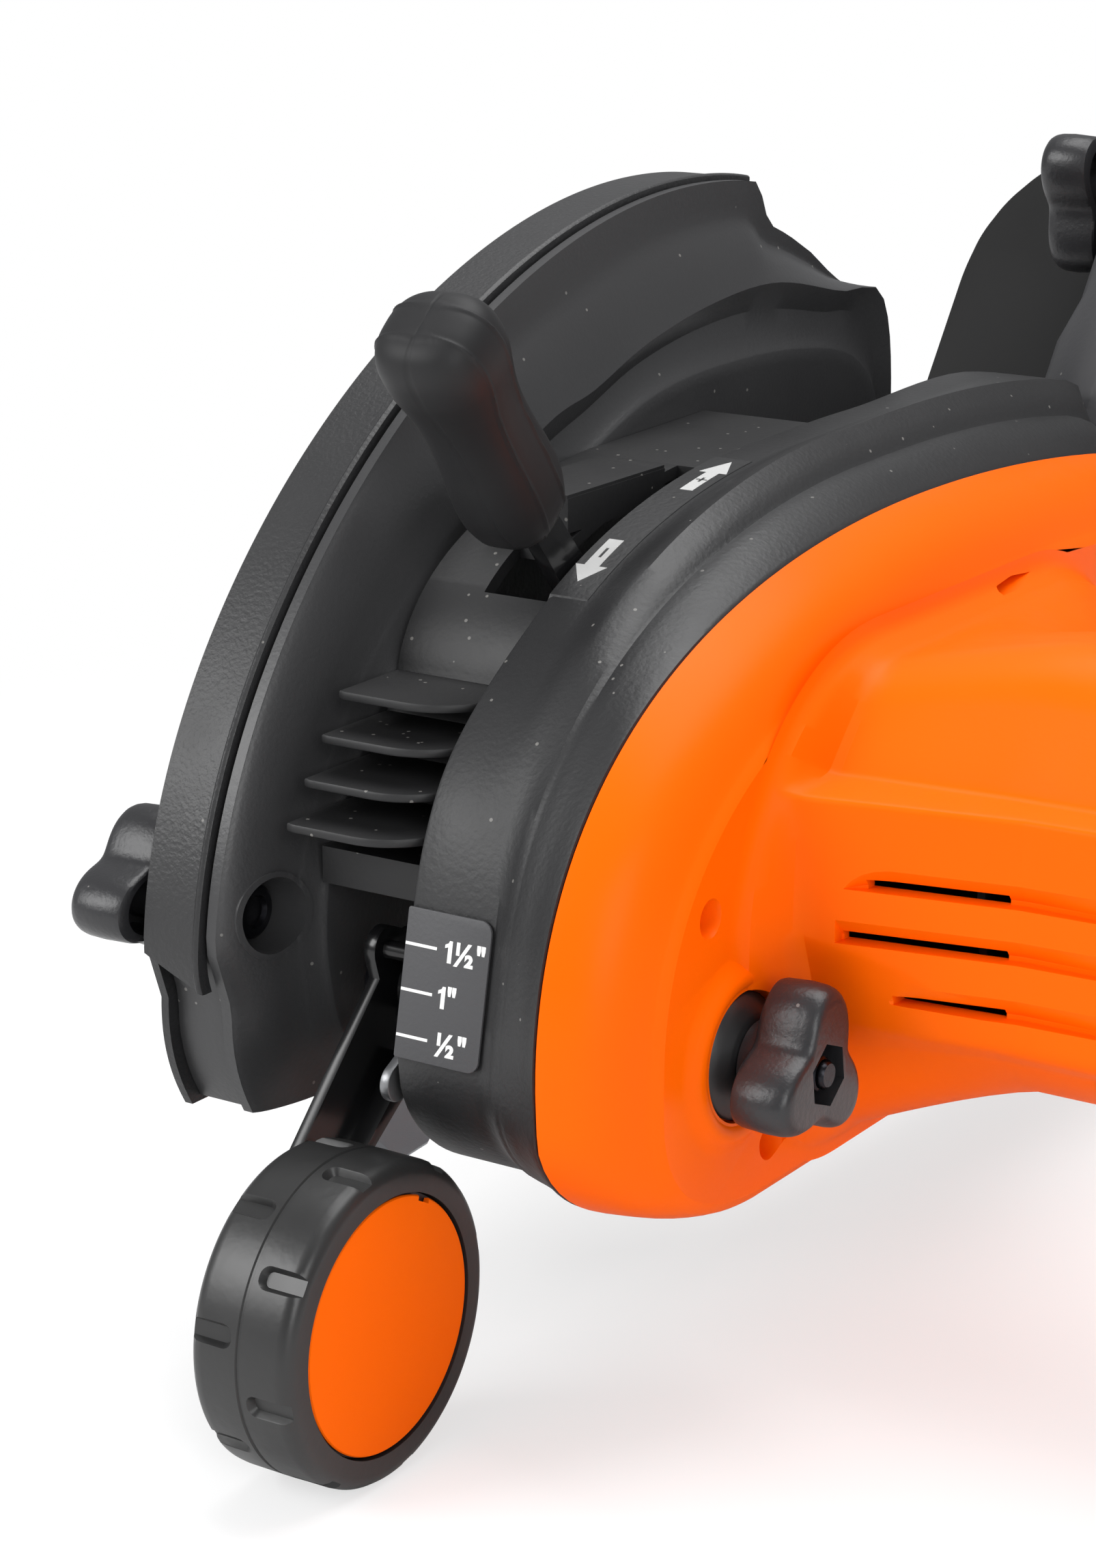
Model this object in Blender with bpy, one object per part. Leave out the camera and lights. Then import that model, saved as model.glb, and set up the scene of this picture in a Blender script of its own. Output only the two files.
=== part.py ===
"""Electric lawn edger, rebuilt from one photograph of its head.

Metres, +Z up, floor at z = 0. The machine travels towards -Y and its motor lies towards +X.
The origin is the point where the front wheel stands on the floor.
Most pieces are outlines in the side view (y, z) that are extruded, lofted or turned along X.
Pieces on the shaft are modelled upright and hang on an empty that leans back with the shaft.
"""

import bpy
import bmesh
from math import acos, atan2, cos, pi, radians, sin, sqrt, tan, tau
from mathutils import Vector
from mathutils.geometry import interpolate_bezier

# Clearances and walls
GAP = 0.0003
WALL = 0.0028
SHEET = 0.003

# Axes in the side view, as (y, z)
FRONT_WHEEL_R = 0.0381
FRONT_AXLE = (0.0, FRONT_WHEEL_R)
ARM_PIVOT = (0.0625, 0.0945)
SPINDLE = (0.160, 0.122)
GUARD_SCREW = (0.033, 0.116)
REAR_WHEEL_R = 0.050
REAR_AXLE = (0.370, REAR_WHEEL_R)

# Planes across the machine, from the guard on the left to the motor on the right
COVER_LEFT = -0.0690
SHELL_LEFT = -0.0660
BAND_RIGHT = -0.0520
GUARD_RIGHT = -0.0370
BOSS_LEFT = -0.0367
HOUSING_LEFT = -0.0010
CREST = 0.0220
SEAM = 0.0440
FACE = 0.0660
MOTOR_START = 0.1170
MOTOR_END = 0.1900

# Head
NOSE = 0.0127
HEAD_TOP = 0.200
CREST_TOP = 0.2135
HEAD_BOTTOM = 0.052
HEAD_REAR = 0.385
GUARD_BOTTOM = 0.062
SPINDLE_BOSS_R = 0.0165
COVER_SCREWS = ((0.0510, 0.1300), (0.0790, 0.0680), (0.3300, 0.1500))

# Motor and gears: a pinion on the armature drives the spindle gear
MOTOR_TUBE_R = 0.054
GEAR_MODULE = 0.001
PINION_TEETH = 12
GEAR_TEETH = 44
GEAR_LINE = radians(163)
GEAR_FACE = (0.0145, 0.0245)
MOTOR_SHAFT_R = 0.005
SPINDLE_R = 0.006
BEARING_R = 0.011
BEARING_WIDTH = 0.007

# Blade: a bar of the nine inch class, parked with its lower end forward. Its corners sweep the length
BLADE_LENGTH = 0.2260
BLADE_WIDTH = 0.044
BLADE_CROP = 0.010
BLADE_LEFT = -0.0540
BLADE_PARK = radians(228)
FLANGE_R = 0.016

# Wheels
FRONT_WHEEL_WIDTH = 0.028
FRONT_HUB_R = 0.0305
REAR_WHEEL_WIDTH = 0.030
REAR_HUB_R = 0.034
REAR_LEFT_X = -0.050
REAR_RIGHT_X = 0.100
AXLE_R = 0.004
WHEEL_FACETS = 24
GROOVES = 8

# Depth lever, wheel arm and the link between them
ARM_LEFT = -0.0260
SLEEVE_R = 0.0070
ARM_CRANK = 0.0156
ARM_CRANK_ANGLE = radians(132.4)
LEVER_LEFT = -0.0065
LEVER_RIGHT = -0.0025
LEVER_ANGLE = radians(131)
LEVER_RING_R = 0.034
LEVER_HALF = 0.0060
LINK_RADIUS = 0.027
LINK_ANGLE = radians(110)
LINK_LEFT = -0.0095
LINK_RIGHT = -0.0070
PIN_R = 0.0022
GRIP_START = 0.109
GRIP_END = 0.181
POINTER_R = 0.040

# Shaft, in its own leaning frame: x across, z along the shaft
SHAFT_X = 0.024
SHAFT_FOOT = (0.345, 0.180)
SHAFT_LEAN = radians(36)
TUBE_R = 0.014
TUBE_WALL = 0.0015
SOCKET_R = 0.023
SOCKET_TOP = 0.105
SOCKET_KNOB_Z = 0.084
SHIELD_Y = 0.0262
LOWER_TUBE_TOP = 0.480
UPPER_TUBE_START = 0.340
HANDLE_START = 0.730
AUX_Z = 0.330
CLAMP_PIN = (-0.031, LOWER_TUBE_TOP - 0.015)
TRIGGER_PIVOT = (0.0180, HANDLE_START + 0.2330)
LOCK_BUTTON = (-0.0020, HANDLE_START + 0.2290)

# Knobs: an M8 screw through three wings
SCREW_R = 0.004
KNOB_R = 0.0205

MOTOR = (
    SPINDLE[0] + GEAR_MODULE * (PINION_TEETH + GEAR_TEETH) / 2 * cos(GEAR_LINE),
    SPINDLE[1] + GEAR_MODULE * (PINION_TEETH + GEAR_TEETH) / 2 * sin(GEAR_LINE),
)
LARGE_SHELLS = ("gear_housing", "motor_cover")
HEAD_POINTS = 40
GUARD_POINTS = 36


def clear_scene():
    for old in list(bpy.data.objects):
        bpy.data.objects.remove(old, do_unlink=True)


def material(name, colour, roughness, metallic=0.0):
    finish = bpy.data.materials.new(name)
    finish.use_nodes = True
    shader = finish.node_tree.nodes["Principled BSDF"]
    shader.inputs["Base Color"].default_value = (*colour, 1.0)
    shader.inputs["Roughness"].default_value = roughness
    shader.inputs["Metallic"].default_value = metallic
    return finish


def black_plastic(name):
    return material(name + "_black_nylon", (0.018, 0.018, 0.020), 0.55)


def orange_plastic(name):
    return material(name + "_orange_abs", (1.0, 0.19, 0.0), 0.42)


def rubber(name):
    return material(name + "_rubber", (0.014, 0.014, 0.015), 0.75)


def steel(name):
    return material(name + "_steel", (0.55, 0.55, 0.56), 0.35, 1.0)


def painted_steel(name):
    return material(name + "_painted_steel", (0.012, 0.012, 0.013), 0.3, 0.4)


# Outlines

def bezier(start, handle_1, handle_2, end, steps):
    """Points of one cubic curve in the side view, without its last point."""
    knots = [Vector((*point, 0.0)) for point in (start, handle_1, handle_2, end)]
    return [Vector(point[:2]) for point in interpolate_bezier(*knots, steps + 1)][:-1]


def rounded(corners, steps=3):
    """An outline through corners (a, b, radius), each turned with an arc of its radius."""
    outline = []
    for index, (a, b, radius) in enumerate(corners):
        here = Vector((a, b))
        following = corners[(index + 1) % len(corners)]
        back = (Vector(corners[index - 1][:2]) - here).normalized()
        ahead = (Vector(following[:2]) - here).normalized()
        if radius == 0:
            outline.append(here)
            continue
        half = back.angle(ahead) / 2
        centre = here + (back + ahead).normalized() * radius / sin(half)
        first = here + back * radius / tan(half) - centre
        last = here + ahead * radius / tan(half) - centre
        start = atan2(first.y, first.x)
        sweep = (atan2(last.y, last.x) - start + pi) % tau - pi
        for step in range(steps + 1):
            angle = start + sweep * step / steps
            outline.append(centre + Vector((cos(angle), sin(angle))) * radius)
    return outline


def circle(centre, radius, count, turn=0.0):
    angles = [turn + tau * step / count for step in range(count)]
    return [Vector((centre[0] + radius * cos(a), centre[1] + radius * sin(a))) for a in angles]


def offset(outline, distance):
    """The outline moved inwards by a distance, or outwards by a negative one."""
    area = sum(a.x * b.y - b.x * a.y for a, b in zip(outline, outline[1:] + outline[:1]))
    side = 1.0 if area > 0 else -1.0
    moved = []
    for index, here in enumerate(outline):
        back = (here - outline[index - 1]).normalized()
        ahead = (outline[(index + 1) % len(outline)] - here).normalized()
        normal = Vector((-back.y - ahead.y, back.x + ahead.x)).normalized() * side
        square = max(0.5, sqrt(max(0.0, (1 + back.dot(ahead)) / 2)))
        moved.append(here + normal * distance / square)
    return moved


def around(outline, centre, count):
    """The outline read again along equally spaced rays from a centre inside it."""
    middle = Vector(centre)
    points = []
    for step in range(count):
        ray = Vector((cos(tau * step / count), sin(tau * step / count)))
        reach = 0.0
        for a, b in zip(outline, outline[1:] + outline[:1]):
            edge = b - a
            cross = ray.x * edge.y - ray.y * edge.x
            if abs(cross) < 1e-12:
                continue
            start = a - middle
            along_ray = (start.x * edge.y - start.y * edge.x) / cross
            along_edge = (start.x * ray.y - start.y * ray.x) / cross
            if -1e-9 <= along_edge <= 1 + 1e-9:
                reach = max(reach, along_ray)
        points.append(middle + ray * reach)
    return points


def mix(first, second, share):
    return [a.lerp(b, share) for a, b in zip(first, second)]


# Solids

def finish_mesh(bm, name, finish, sharp=35):
    """A linked object from a bmesh, with outward normals and smooth round faces."""
    bmesh.ops.remove_doubles(bm, verts=bm.verts, dist=1e-7)
    bare = [edge for edge in bm.edges if not edge.link_faces]
    bmesh.ops.delete(bm, geom=bare, context="EDGES")
    bmesh.ops.recalc_face_normals(bm, faces=bm.faces)
    mesh = bpy.data.meshes.new(name)
    bm.to_mesh(mesh)
    bm.free()
    mesh.shade_smooth()
    mesh.set_sharp_from_angle(angle=radians(sharp))
    solid = bpy.data.objects.new(name, mesh)
    if finish:
        mesh.materials.append(finish)
    bpy.context.scene.collection.objects.link(solid)
    return solid


def loft(name, stations, finish=None, closed=False):
    """Skins outlines of equal count, given as (x, outline), in the order in which they come.

    The two ends get caps. A closed skin joins its last outline to its first one instead, so
    a wall is made by stations that go out along its outer side and back along its inner side.
    """
    bm = bmesh.new()
    rings = [[bm.verts.new((x, point.x, point.y)) for point in outline] for x, outline in stations]
    pairs = list(zip(rings, rings[1:]))
    if closed:
        pairs.append((rings[-1], rings[0]))
    for near, far in pairs:
        for index in range(len(near)):
            bm.faces.new((near[index - 1], near[index], far[index], far[index - 1]))
    if not closed:
        bm.faces.new(rings[0])
        bm.faces.new(rings[-1])
    return finish_mesh(bm, name, finish)


def prism(name, outline, left, right, finish=None):
    return loft(name, [(left, outline), (right, outline)], finish)


def turned(name, profile, centre, finish=None, facets=16, turn=0.0):
    """Turns a closed profile of (x, radius) points round an axis along X through the centre."""
    bm = bmesh.new()
    verts = [bm.verts.new((x, r * cos(turn), r * sin(turn))) for x, r in profile]
    edges = [bm.edges.new((verts[i - 1], verts[i])) for i in range(len(verts))]
    bmesh.ops.spin(bm, geom=verts + edges, cent=(0, 0, 0), axis=(1, 0, 0), angle=tau,
                   steps=facets, use_merge=True)
    bmesh.ops.remove_doubles(bm, verts=bm.verts, dist=1e-7)
    solid = finish_mesh(bm, name, finish)
    solid.location = (0, *centre)
    return solid


def ring(name, left, right, outer, inner, centre, finish=None, facets=16, turn=0.0):
    profile = [(left, inner), (left, outer), (right, outer), (right, inner)]
    return turned(name, profile, centre, finish, facets, turn)


def disc(name, left, right, radius, centre, finish=None, facets=16, turn=0.0):
    solid = prism(name, circle((0, 0), radius, facets, turn), left, right, finish)
    solid.location = (0, *centre)
    return solid


def drill(left, right, radius, centre, facets=16):
    """A round cutter, turned half a facet so that its edges don't lie on those of a round piece."""
    return disc("drill_tool", left, right, radius, centre, None, facets, pi / facets)


def box(name, low, high, finish=None):
    outline = [Vector((low[1], low[2])), Vector((high[1], low[2])),
               Vector((high[1], high[2])), Vector((low[1], high[2]))]
    return prism(name, outline, low[0], high[0], finish)


def sweep_loop(name, path, radius, sides, finish=None):
    """A closed round bar along a loop of points that lie in one plane of constant z."""
    bm = bmesh.new()
    rings = []
    for index, here in enumerate(path):
        along = (path[(index + 1) % len(path)] - path[index - 1]).normalized()
        outward = along.cross(Vector((0, 0, 1)))
        turns = [tau * side / sides for side in range(sides)]
        rings.append([bm.verts.new(here + (outward * cos(t) + Vector((0, 0, sin(t)))) * radius)
                      for t in turns])
    for index in range(len(rings)):
        for side in range(sides):
            bm.faces.new((rings[index - 1][side - 1], rings[index - 1][side],
                          rings[index][side], rings[index][side - 1]))
    return finish_mesh(bm, name, finish)


def combine(target, tool, operation):
    """A Boolean that stays live on the target. Its tool is a wire guide that isn't rendered.

    The exact solver loses faces on the two large shells, whose skins are closed but not flat.
    """
    step = target.modifiers.new(operation.lower() + "_" + tool.name, "BOOLEAN")
    step.operation = operation
    step.object = tool
    step.solver = "MANIFOLD" if target.name in LARGE_SHELLS else "EXACT"
    tool.hide_render = True
    tool.display_type = "WIRE"


def cut(target, *tools):
    for tool in tools:
        combine(target, tool, "DIFFERENCE")


def unite(target, *tools):
    for tool in tools:
        combine(target, tool, "UNION")


def soften(target, width, segments=2, angle=40):
    step = target.modifiers.new("edges", "BEVEL")
    step.width = width
    step.segments = segments
    step.limit_method = "ANGLE"
    step.angle_limit = radians(angle)


def pivot(name, place, parent=None, lean=0.0):
    empty = bpy.data.objects.new(name, None)
    empty.location = place
    empty.rotation_euler = (lean, 0, 0)
    empty.parent = parent
    bpy.context.scene.collection.objects.link(empty)
    return empty


def carry(parent, *pieces):
    """Hangs pieces that were placed in the world on an unturned empty, where they are."""
    for piece in pieces:
        piece.location = piece.location - parent.location
        piece.parent = parent


def hang(parent, *pieces):
    """Hangs pieces that were modelled in the parent's own frame, with their cutting tools."""
    for piece in pieces:
        piece.parent = parent
        for step in piece.modifiers:
            if step.type == "BOOLEAN" and step.object.parent is None:
                step.object.parent = parent


# Side views of the head and the guard

def belly(front, low_front):
    """The rear and the underside that every head outline shares, up to its front corner."""
    rear = bezier((0.330, HEAD_TOP - 0.014), (0.365, HEAD_TOP - 0.020), (HEAD_REAR, 0.170),
                  (HEAD_REAR, 0.135), 4)
    under = bezier((HEAD_REAR, 0.135), (HEAD_REAR, 0.080), (0.330, HEAD_BOTTOM),
                   (0.250, HEAD_BOTTOM), 5)
    corner = bezier((front + 0.038, HEAD_BOTTOM), (front + 0.012, HEAD_BOTTOM),
                    (front + 0.001, HEAD_BOTTOM + 0.014), (front, low_front), 5)
    return rear + under + corner


def seam_side():
    nose = bezier((NOSE, 0.097), (NOSE, 0.160), (0.068, HEAD_TOP), (0.190, HEAD_TOP), 12)
    top = bezier((0.190, HEAD_TOP), (0.240, HEAD_TOP), (0.290, HEAD_TOP - 0.006),
                 (0.330, HEAD_TOP - 0.014), 4)
    return around(nose + top + belly(NOSE, 0.086), MOTOR, HEAD_POINTS)


def crest_side():
    """The black crown, with the straight front that carries the depth scale."""
    nose = bezier((0.031, 0.127), (0.042, 0.180), (0.105, CREST_TOP), (0.190, CREST_TOP), 10)
    top = bezier((0.190, CREST_TOP), (0.240, CREST_TOP + 0.002), (0.290, CREST_TOP),
                 (0.330, CREST_TOP - 0.010), 4)
    return around([Vector((0.024, 0.092))] + nose + top + belly(0.024, 0.088), MOTOR, HEAD_POINTS)


def head_envelope():
    """A cutter of the whole head, a little larger, for what sits on it."""
    seat = -2 * GAP
    return loft("head_envelope_tool", crown_stations(seat) + rim_stations(seat))


def face_side():
    """The edge of the flat right face: well inside the seam above, hardly inside it below."""
    nose = bezier((0.029, 0.098), (0.029, 0.150), (0.078, 0.1835), (0.190, 0.1835), 12)
    top = bezier((0.190, 0.1835), (0.240, 0.1835), (0.290, 0.178), (0.325, 0.171), 4)
    rear = bezier((0.325, 0.171), (0.352, 0.165), (0.371, 0.156), (0.371, 0.131), 4)
    under = bezier((0.371, 0.131), (0.371, 0.085), (0.325, 0.0535), (0.250, 0.0535), 5)
    corner = bezier((0.075, 0.0545), (0.042, 0.056), (0.030, 0.070), (0.029, 0.088), 5)
    return around(nose + top + rear + under + corner, MOTOR, HEAD_POINTS)


def flange_side():
    """Where the motor tube grows out of the orange cover."""
    corners = [(0.064, 0.179, 0.060), (0.266, 0.178, 0.060), (0.266, 0.060, 0.050),
               (0.064, 0.060, 0.046)]
    return around(rounded(corners, 6), MOTOR, HEAD_POINTS)


def root_side():
    """The motor housing just outside the face, drawn back below to leave room for the knob."""
    corners = [(0.077, 0.176, 0.032), (0.262, 0.176, 0.056), (0.262, 0.064, 0.048),
               (0.100, 0.064, 0.024), (0.085, 0.100, 0.030), (0.077, 0.125, 0.020)]
    return around(rounded(corners, 6), MOTOR, HEAD_POINTS)


def crown_stations(inset=0.0):
    """The black half of the head, from its left wall to the seam, as (x, outline)."""
    crest = offset(crest_side(), inset)
    seam = offset(seam_side(), inset)
    return [
        (HOUSING_LEFT + inset, offset(crest, 0.0008)),
        (HOUSING_LEFT + 0.0012 + inset / 2, crest),
        (CREST, crest),
        (0.030, mix(crest, seam, 0.45)),
        (SEAM, seam),
    ]


def rim_stations(inset=0.0):
    """The orange rim, from the seam over its shoulder to the flat right face."""
    seam = offset(seam_side(), inset)
    face = offset(face_side(), inset)
    return [
        (SEAM + GAP, seam),
        (0.054 - inset / 3, mix(seam, face, 0.22)),
        (0.062 - inset / 2, mix(seam, face, 0.76)),
        (0.064 - inset * 0.8, face),
        (FACE - inset, offset(face, 0.0025)),
    ]


def guard_side():
    """The guard's big arch over the blade, seen on its left cover."""
    arch = bezier((0.017, 0.110), (0.024, 0.190), (0.125, 0.266), (0.230, 0.266), 14)
    tail = bezier((0.230, 0.266), (0.255, 0.266), (0.276, 0.263), (0.295, 0.258), 4)
    drop = [Vector((0.295, 0.258)), Vector((0.330, 0.232)), Vector((0.340, 0.190)),
            Vector((0.335, 0.100)), Vector((0.280, 0.030)), Vector((0.080, 0.025))]
    chin = bezier((0.052, 0.040), (0.028, 0.062), (0.021, 0.078), (0.023, 0.096), 4)
    return arch + tail + drop + chin


def guard_right_side():
    """The inner edge of the dome, drawn in at the front to a bowl."""
    bowl = bezier((0.056, 0.050), (0.038, 0.080), (0.026, 0.122), (0.034, 0.145), 5)
    arch = bezier((0.034, 0.145), (0.058, 0.186), (0.130, 0.241), (0.215, 0.241), 10)
    rest = [Vector((0.260, 0.239)), Vector((0.318, 0.224)), Vector((0.324, 0.190)),
            Vector((0.318, 0.100)), Vector((0.268, 0.040)), Vector((0.090, 0.035))]
    return bowl + arch + rest


# Gear housing and what turns in it

def gear_housing():
    finish = black_plastic("gear_housing")
    housing = loft("gear_housing", crown_stations() + crown_stations(WALL)[::-1], finish)
    boss = disc("boss_tool", BOSS_LEFT, HOUSING_LEFT + 0.001, SPINDLE_BOSS_R, SPINDLE, None, 24)
    flange = disc("boss_flange_tool", BOSS_LEFT, BOSS_LEFT + 0.004, 0.030, SPINDLE, None, 24)
    pivot_boss = disc("pivot_boss_tool", HOUSING_LEFT + 0.001, SEAM - 0.006, 0.009, ARM_PIVOT)
    unite(housing, boss, flange, pivot_boss)
    bore = drill(BOSS_LEFT - 0.01, 0.010, BEARING_R + GAP, SPINDLE, 24)
    bolt_hole = drill(-0.05, 0.10, SCREW_R + GAP, ARM_PIVOT)
    floor = prism("strip_floor_tool", crown_band(0.0015, 0.0073, 0.060, 0.245), HOUSING_LEFT + 0.0005,
                  0.0128)
    strip = prism("strip_tool", crown_band(-0.003, 0.0045, 0.080, 0.222), -0.01, 0.010)
    unite(housing, floor)
    cut(housing, bore, bolt_hole, strip)
    return housing


def crown_band(outer, inner, front, rear):
    """The upper part of the crown between two depths below it."""
    over = sorted([p for p in offset(crest_side(), outer) if p.y > 0.15], key=lambda p: p.x)
    below = sorted([p for p in offset(crest_side(), inner) if p.y > 0.15], key=lambda p: -p.x)
    return [p for p in over + below if front < p.x < rear]


def gear_plate():
    """The bulkhead that holds the inner bearings of both shafts in two bosses."""
    finish = material("gear_plate_aluminium", (0.45, 0.45, 0.46), 0.5, 0.9)
    middle = Vector(MOTOR)
    pairs = zip(seam_side(), mix(crest_side(), seam_side(), 0.80))
    inner = [min(pair, key=lambda point: (point - middle).length) for pair in pairs]
    edge = offset(inner, WALL + 0.0012)
    plate = prism("gear_plate", edge, SEAM - 0.0040, SEAM - GAP, finish)
    for name, axis in (("spindle", SPINDLE), ("motor", MOTOR)):
        unite(plate, disc(name + "_seat_tool", 0.0335, SEAM - 0.002, BEARING_R + 0.003, axis))
        cut(plate, drill(0.030, 0.0340 + BEARING_WIDTH, BEARING_R + GAP, axis))
    cut(plate, drill(0.03, 0.06, MOTOR_SHAFT_R + 0.002, MOTOR))
    cut(plate, drill(0.03, 0.06, 0.0095, ARM_PIVOT))
    return plate


def bearing(name, left, axis, shaft_radius):
    inner = shaft_radius + GAP
    middle = (inner + BEARING_R) / 2
    right = left + BEARING_WIDTH
    profile = [(left, inner), (left, middle), (left + 0.0008, middle), (left + 0.0008, BEARING_R),
               (right, BEARING_R), (right, inner)]
    return turned(name, profile, axis, steel(name), 14)


def bearings():
    bearing("motor_bearing_left", 0.0340 - GAP, MOTOR, MOTOR_SHAFT_R)
    bearing("motor_bearing_right", MOTOR_END + 0.0015, MOTOR, MOTOR_SHAFT_R)
    bearing("spindle_bearing_right", 0.0340 - GAP, SPINDLE, SPINDLE_R)
    bearing("spindle_bearing_left", -0.0322, SPINDLE, SPINDLE_R)


def gear_outline(teeth, tip, root, thin, start):
    """An involute outline: each tooth has a flank, a tip land and a flank, above the root circle."""
    pitch_r = GEAR_MODULE * teeth / 2
    base_r = pitch_r * cos(radians(20))
    involute = lambda r: tan(acos(base_r / r)) - acos(base_r / r)
    half = (pi / 2 - thin / GEAR_MODULE) / teeth + involute(pitch_r)
    low = max(base_r * 1.0005, root)
    radii = [low, tip] if teeth > 2 * PINION_TEETH else [low, (low + tip) / 2, tip]
    outline = []
    for tooth in range(teeth):
        middle = start + tau * tooth / teeth
        flank = [(r, half - involute(r)) for r in radii]
        if root < low:
            flank = [(root, half - involute(low))] + flank
        for r, angle in flank:
            outline.append(Vector((r * cos(middle - angle), r * sin(middle - angle))))
        for r, angle in reversed(flank):
            outline.append(Vector((r * cos(middle + angle), r * sin(middle + angle))))
    return outline


def toothed(name, teeth, axis, start, finish=None):
    """A spur gear with stub teeth and backlash, turned so that a tooth points along start."""
    addendum = 0.7 * GEAR_MODULE
    dedendum = 0.95 * GEAR_MODULE
    pitch_r = GEAR_MODULE * teeth / 2
    outline = gear_outline(teeth, pitch_r + addendum, pitch_r - dedendum, 0.00012, start)
    gear = prism(name, outline, *GEAR_FACE, finish)
    gear.location = (0, *axis)
    return gear


def drive_train():
    """The two coupled shafts with everything that is pressed or screwed on them."""
    armature_axis = pivot("motor_axis", (0, *MOTOR))
    spindle_axis = pivot("spindle_axis", (0, *SPINDLE))
    pinion_start = GEAR_LINE + pi
    gear_start = GEAR_LINE + pi / GEAR_TEETH
    gear = toothed("spindle_gear", GEAR_TEETH, SPINDLE, gear_start, steel("spindle_gear"))
    cut(gear, drill(GEAR_FACE[0] - 0.01, GEAR_FACE[1] + 0.01, SPINDLE_R + GAP, SPINDLE, 24))
    shaft = disc("motor_shaft", GEAR_FACE[1] - 0.001, MOTOR_END + 0.0085, MOTOR_SHAFT_R, MOTOR,
                 steel("motor_shaft"), 20)
    unite(shaft, toothed("pinion_tool", PINION_TEETH, MOTOR, pinion_start))
    core_bore = MOTOR_SHAFT_R + GAP
    copper = material("armature_copper_and_iron", (0.30, 0.14, 0.07), 0.5, 0.7)
    armature = turned("armature", [(0.122, core_bore), (0.122, 0.018), (0.126, 0.024),
                                   (0.128, 0.0300), (0.166, 0.0300), (0.168, 0.024),
                                   (0.172, 0.018), (0.172, 0.013), (0.184, 0.013),
                                   (0.184, core_bore)], MOTOR, copper)
    fan = ring("cooling_fan", 0.1100, 0.1120, MOTOR_TUBE_R - 0.007, core_bore, MOTOR,
               black_plastic("cooling_fan"))
    blades = []
    for step in range(6):
        angle = tau * step / 6
        inner = Vector((cos(angle), sin(angle))) * 0.016
        outer = Vector((cos(angle + 0.5), sin(angle + 0.5))) * (MOTOR_TUBE_R - 0.009)
        side = (outer - inner).normalized().orthogonal() * 0.0008
        corners = [inner - side, outer - side, outer + side, inner + side]
        blade = prism(f"fan_blade_{step}_tool", corners, 0.1015, 0.1110)
        blade.location = (0, *MOTOR)
        blades.append(blade)
    unite(fan, ring("fan_hub_tool", 0.1015, 0.1110, 0.012, core_bore, MOTOR), *blades)

    spindle = disc("spindle_shaft", BLADE_LEFT - 0.0108, 0.0405, SPINDLE_R, SPINDLE, steel("spindle"))
    bore = SPINDLE_R + GAP
    seat = BLADE_LEFT + SHEET + GAP
    inner_flange = turned("inner_flange", [(seat, bore), (seat, FLANGE_R), (seat + 0.003, FLANGE_R),
                                           (seat + 0.003, 0.0098), (-0.0325, 0.0098), (-0.0325, bore)],
                          SPINDLE, steel("inner_flange"), 20)
    nut = disc("flanged_blade_nut", BLADE_LEFT - 0.0027, BLADE_LEFT - GAP, FLANGE_R, SPINDLE,
               steel("flanged_blade_nut"), 20)
    cut(nut, drill(-0.07, -0.04, bore, SPINDLE))
    hexagon = disc("hexagon_tool", BLADE_LEFT - 0.0090, BLADE_LEFT - 0.0025, 0.0098, SPINDLE, None, 6)
    cut(hexagon, drill(-0.07, -0.04, bore, SPINDLE))
    unite(nut, hexagon)
    carry(armature_axis, shaft, armature, fan)
    carry(spindle_axis, gear, spindle, inner_flange, nut, edger_blade())


def edger_blade():
    """A bar blade with cropped, bevelled ends."""
    wide = BLADE_WIDTH / 2
    crop = BLADE_CROP
    half = sqrt((BLADE_LENGTH / 2) ** 2 - (wide - crop) ** 2)
    corners = [(half, wide - crop), (half - crop, wide), (-half + crop, wide), (-half, wide - crop),
               (-half, -wide + crop), (-half + crop, -wide), (half - crop, -wide), (half, -wide + crop)]
    turn = Vector((cos(BLADE_PARK), sin(BLADE_PARK)))
    outline = [Vector((a * turn.x - b * turn.y, a * turn.y + b * turn.x)) for a, b in corners]
    blade = prism("edger_blade", outline, BLADE_LEFT, BLADE_LEFT + SHEET, steel("edger_blade"))
    blade.location = (0, *SPINDLE)
    cut(blade, drill(BLADE_LEFT - 0.01, BLADE_LEFT + 0.01, SPINDLE_R + GAP, SPINDLE, 24))
    soften(blade, 0.0010, 1, 60)
    return blade


# Motor in its orange cover

def tube_bore():
    """The largest radius that clears the flats of the motor tube's inside."""
    return (MOTOR_TUBE_R - WALL) * cos(pi / HEAD_POINTS) - GAP


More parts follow.
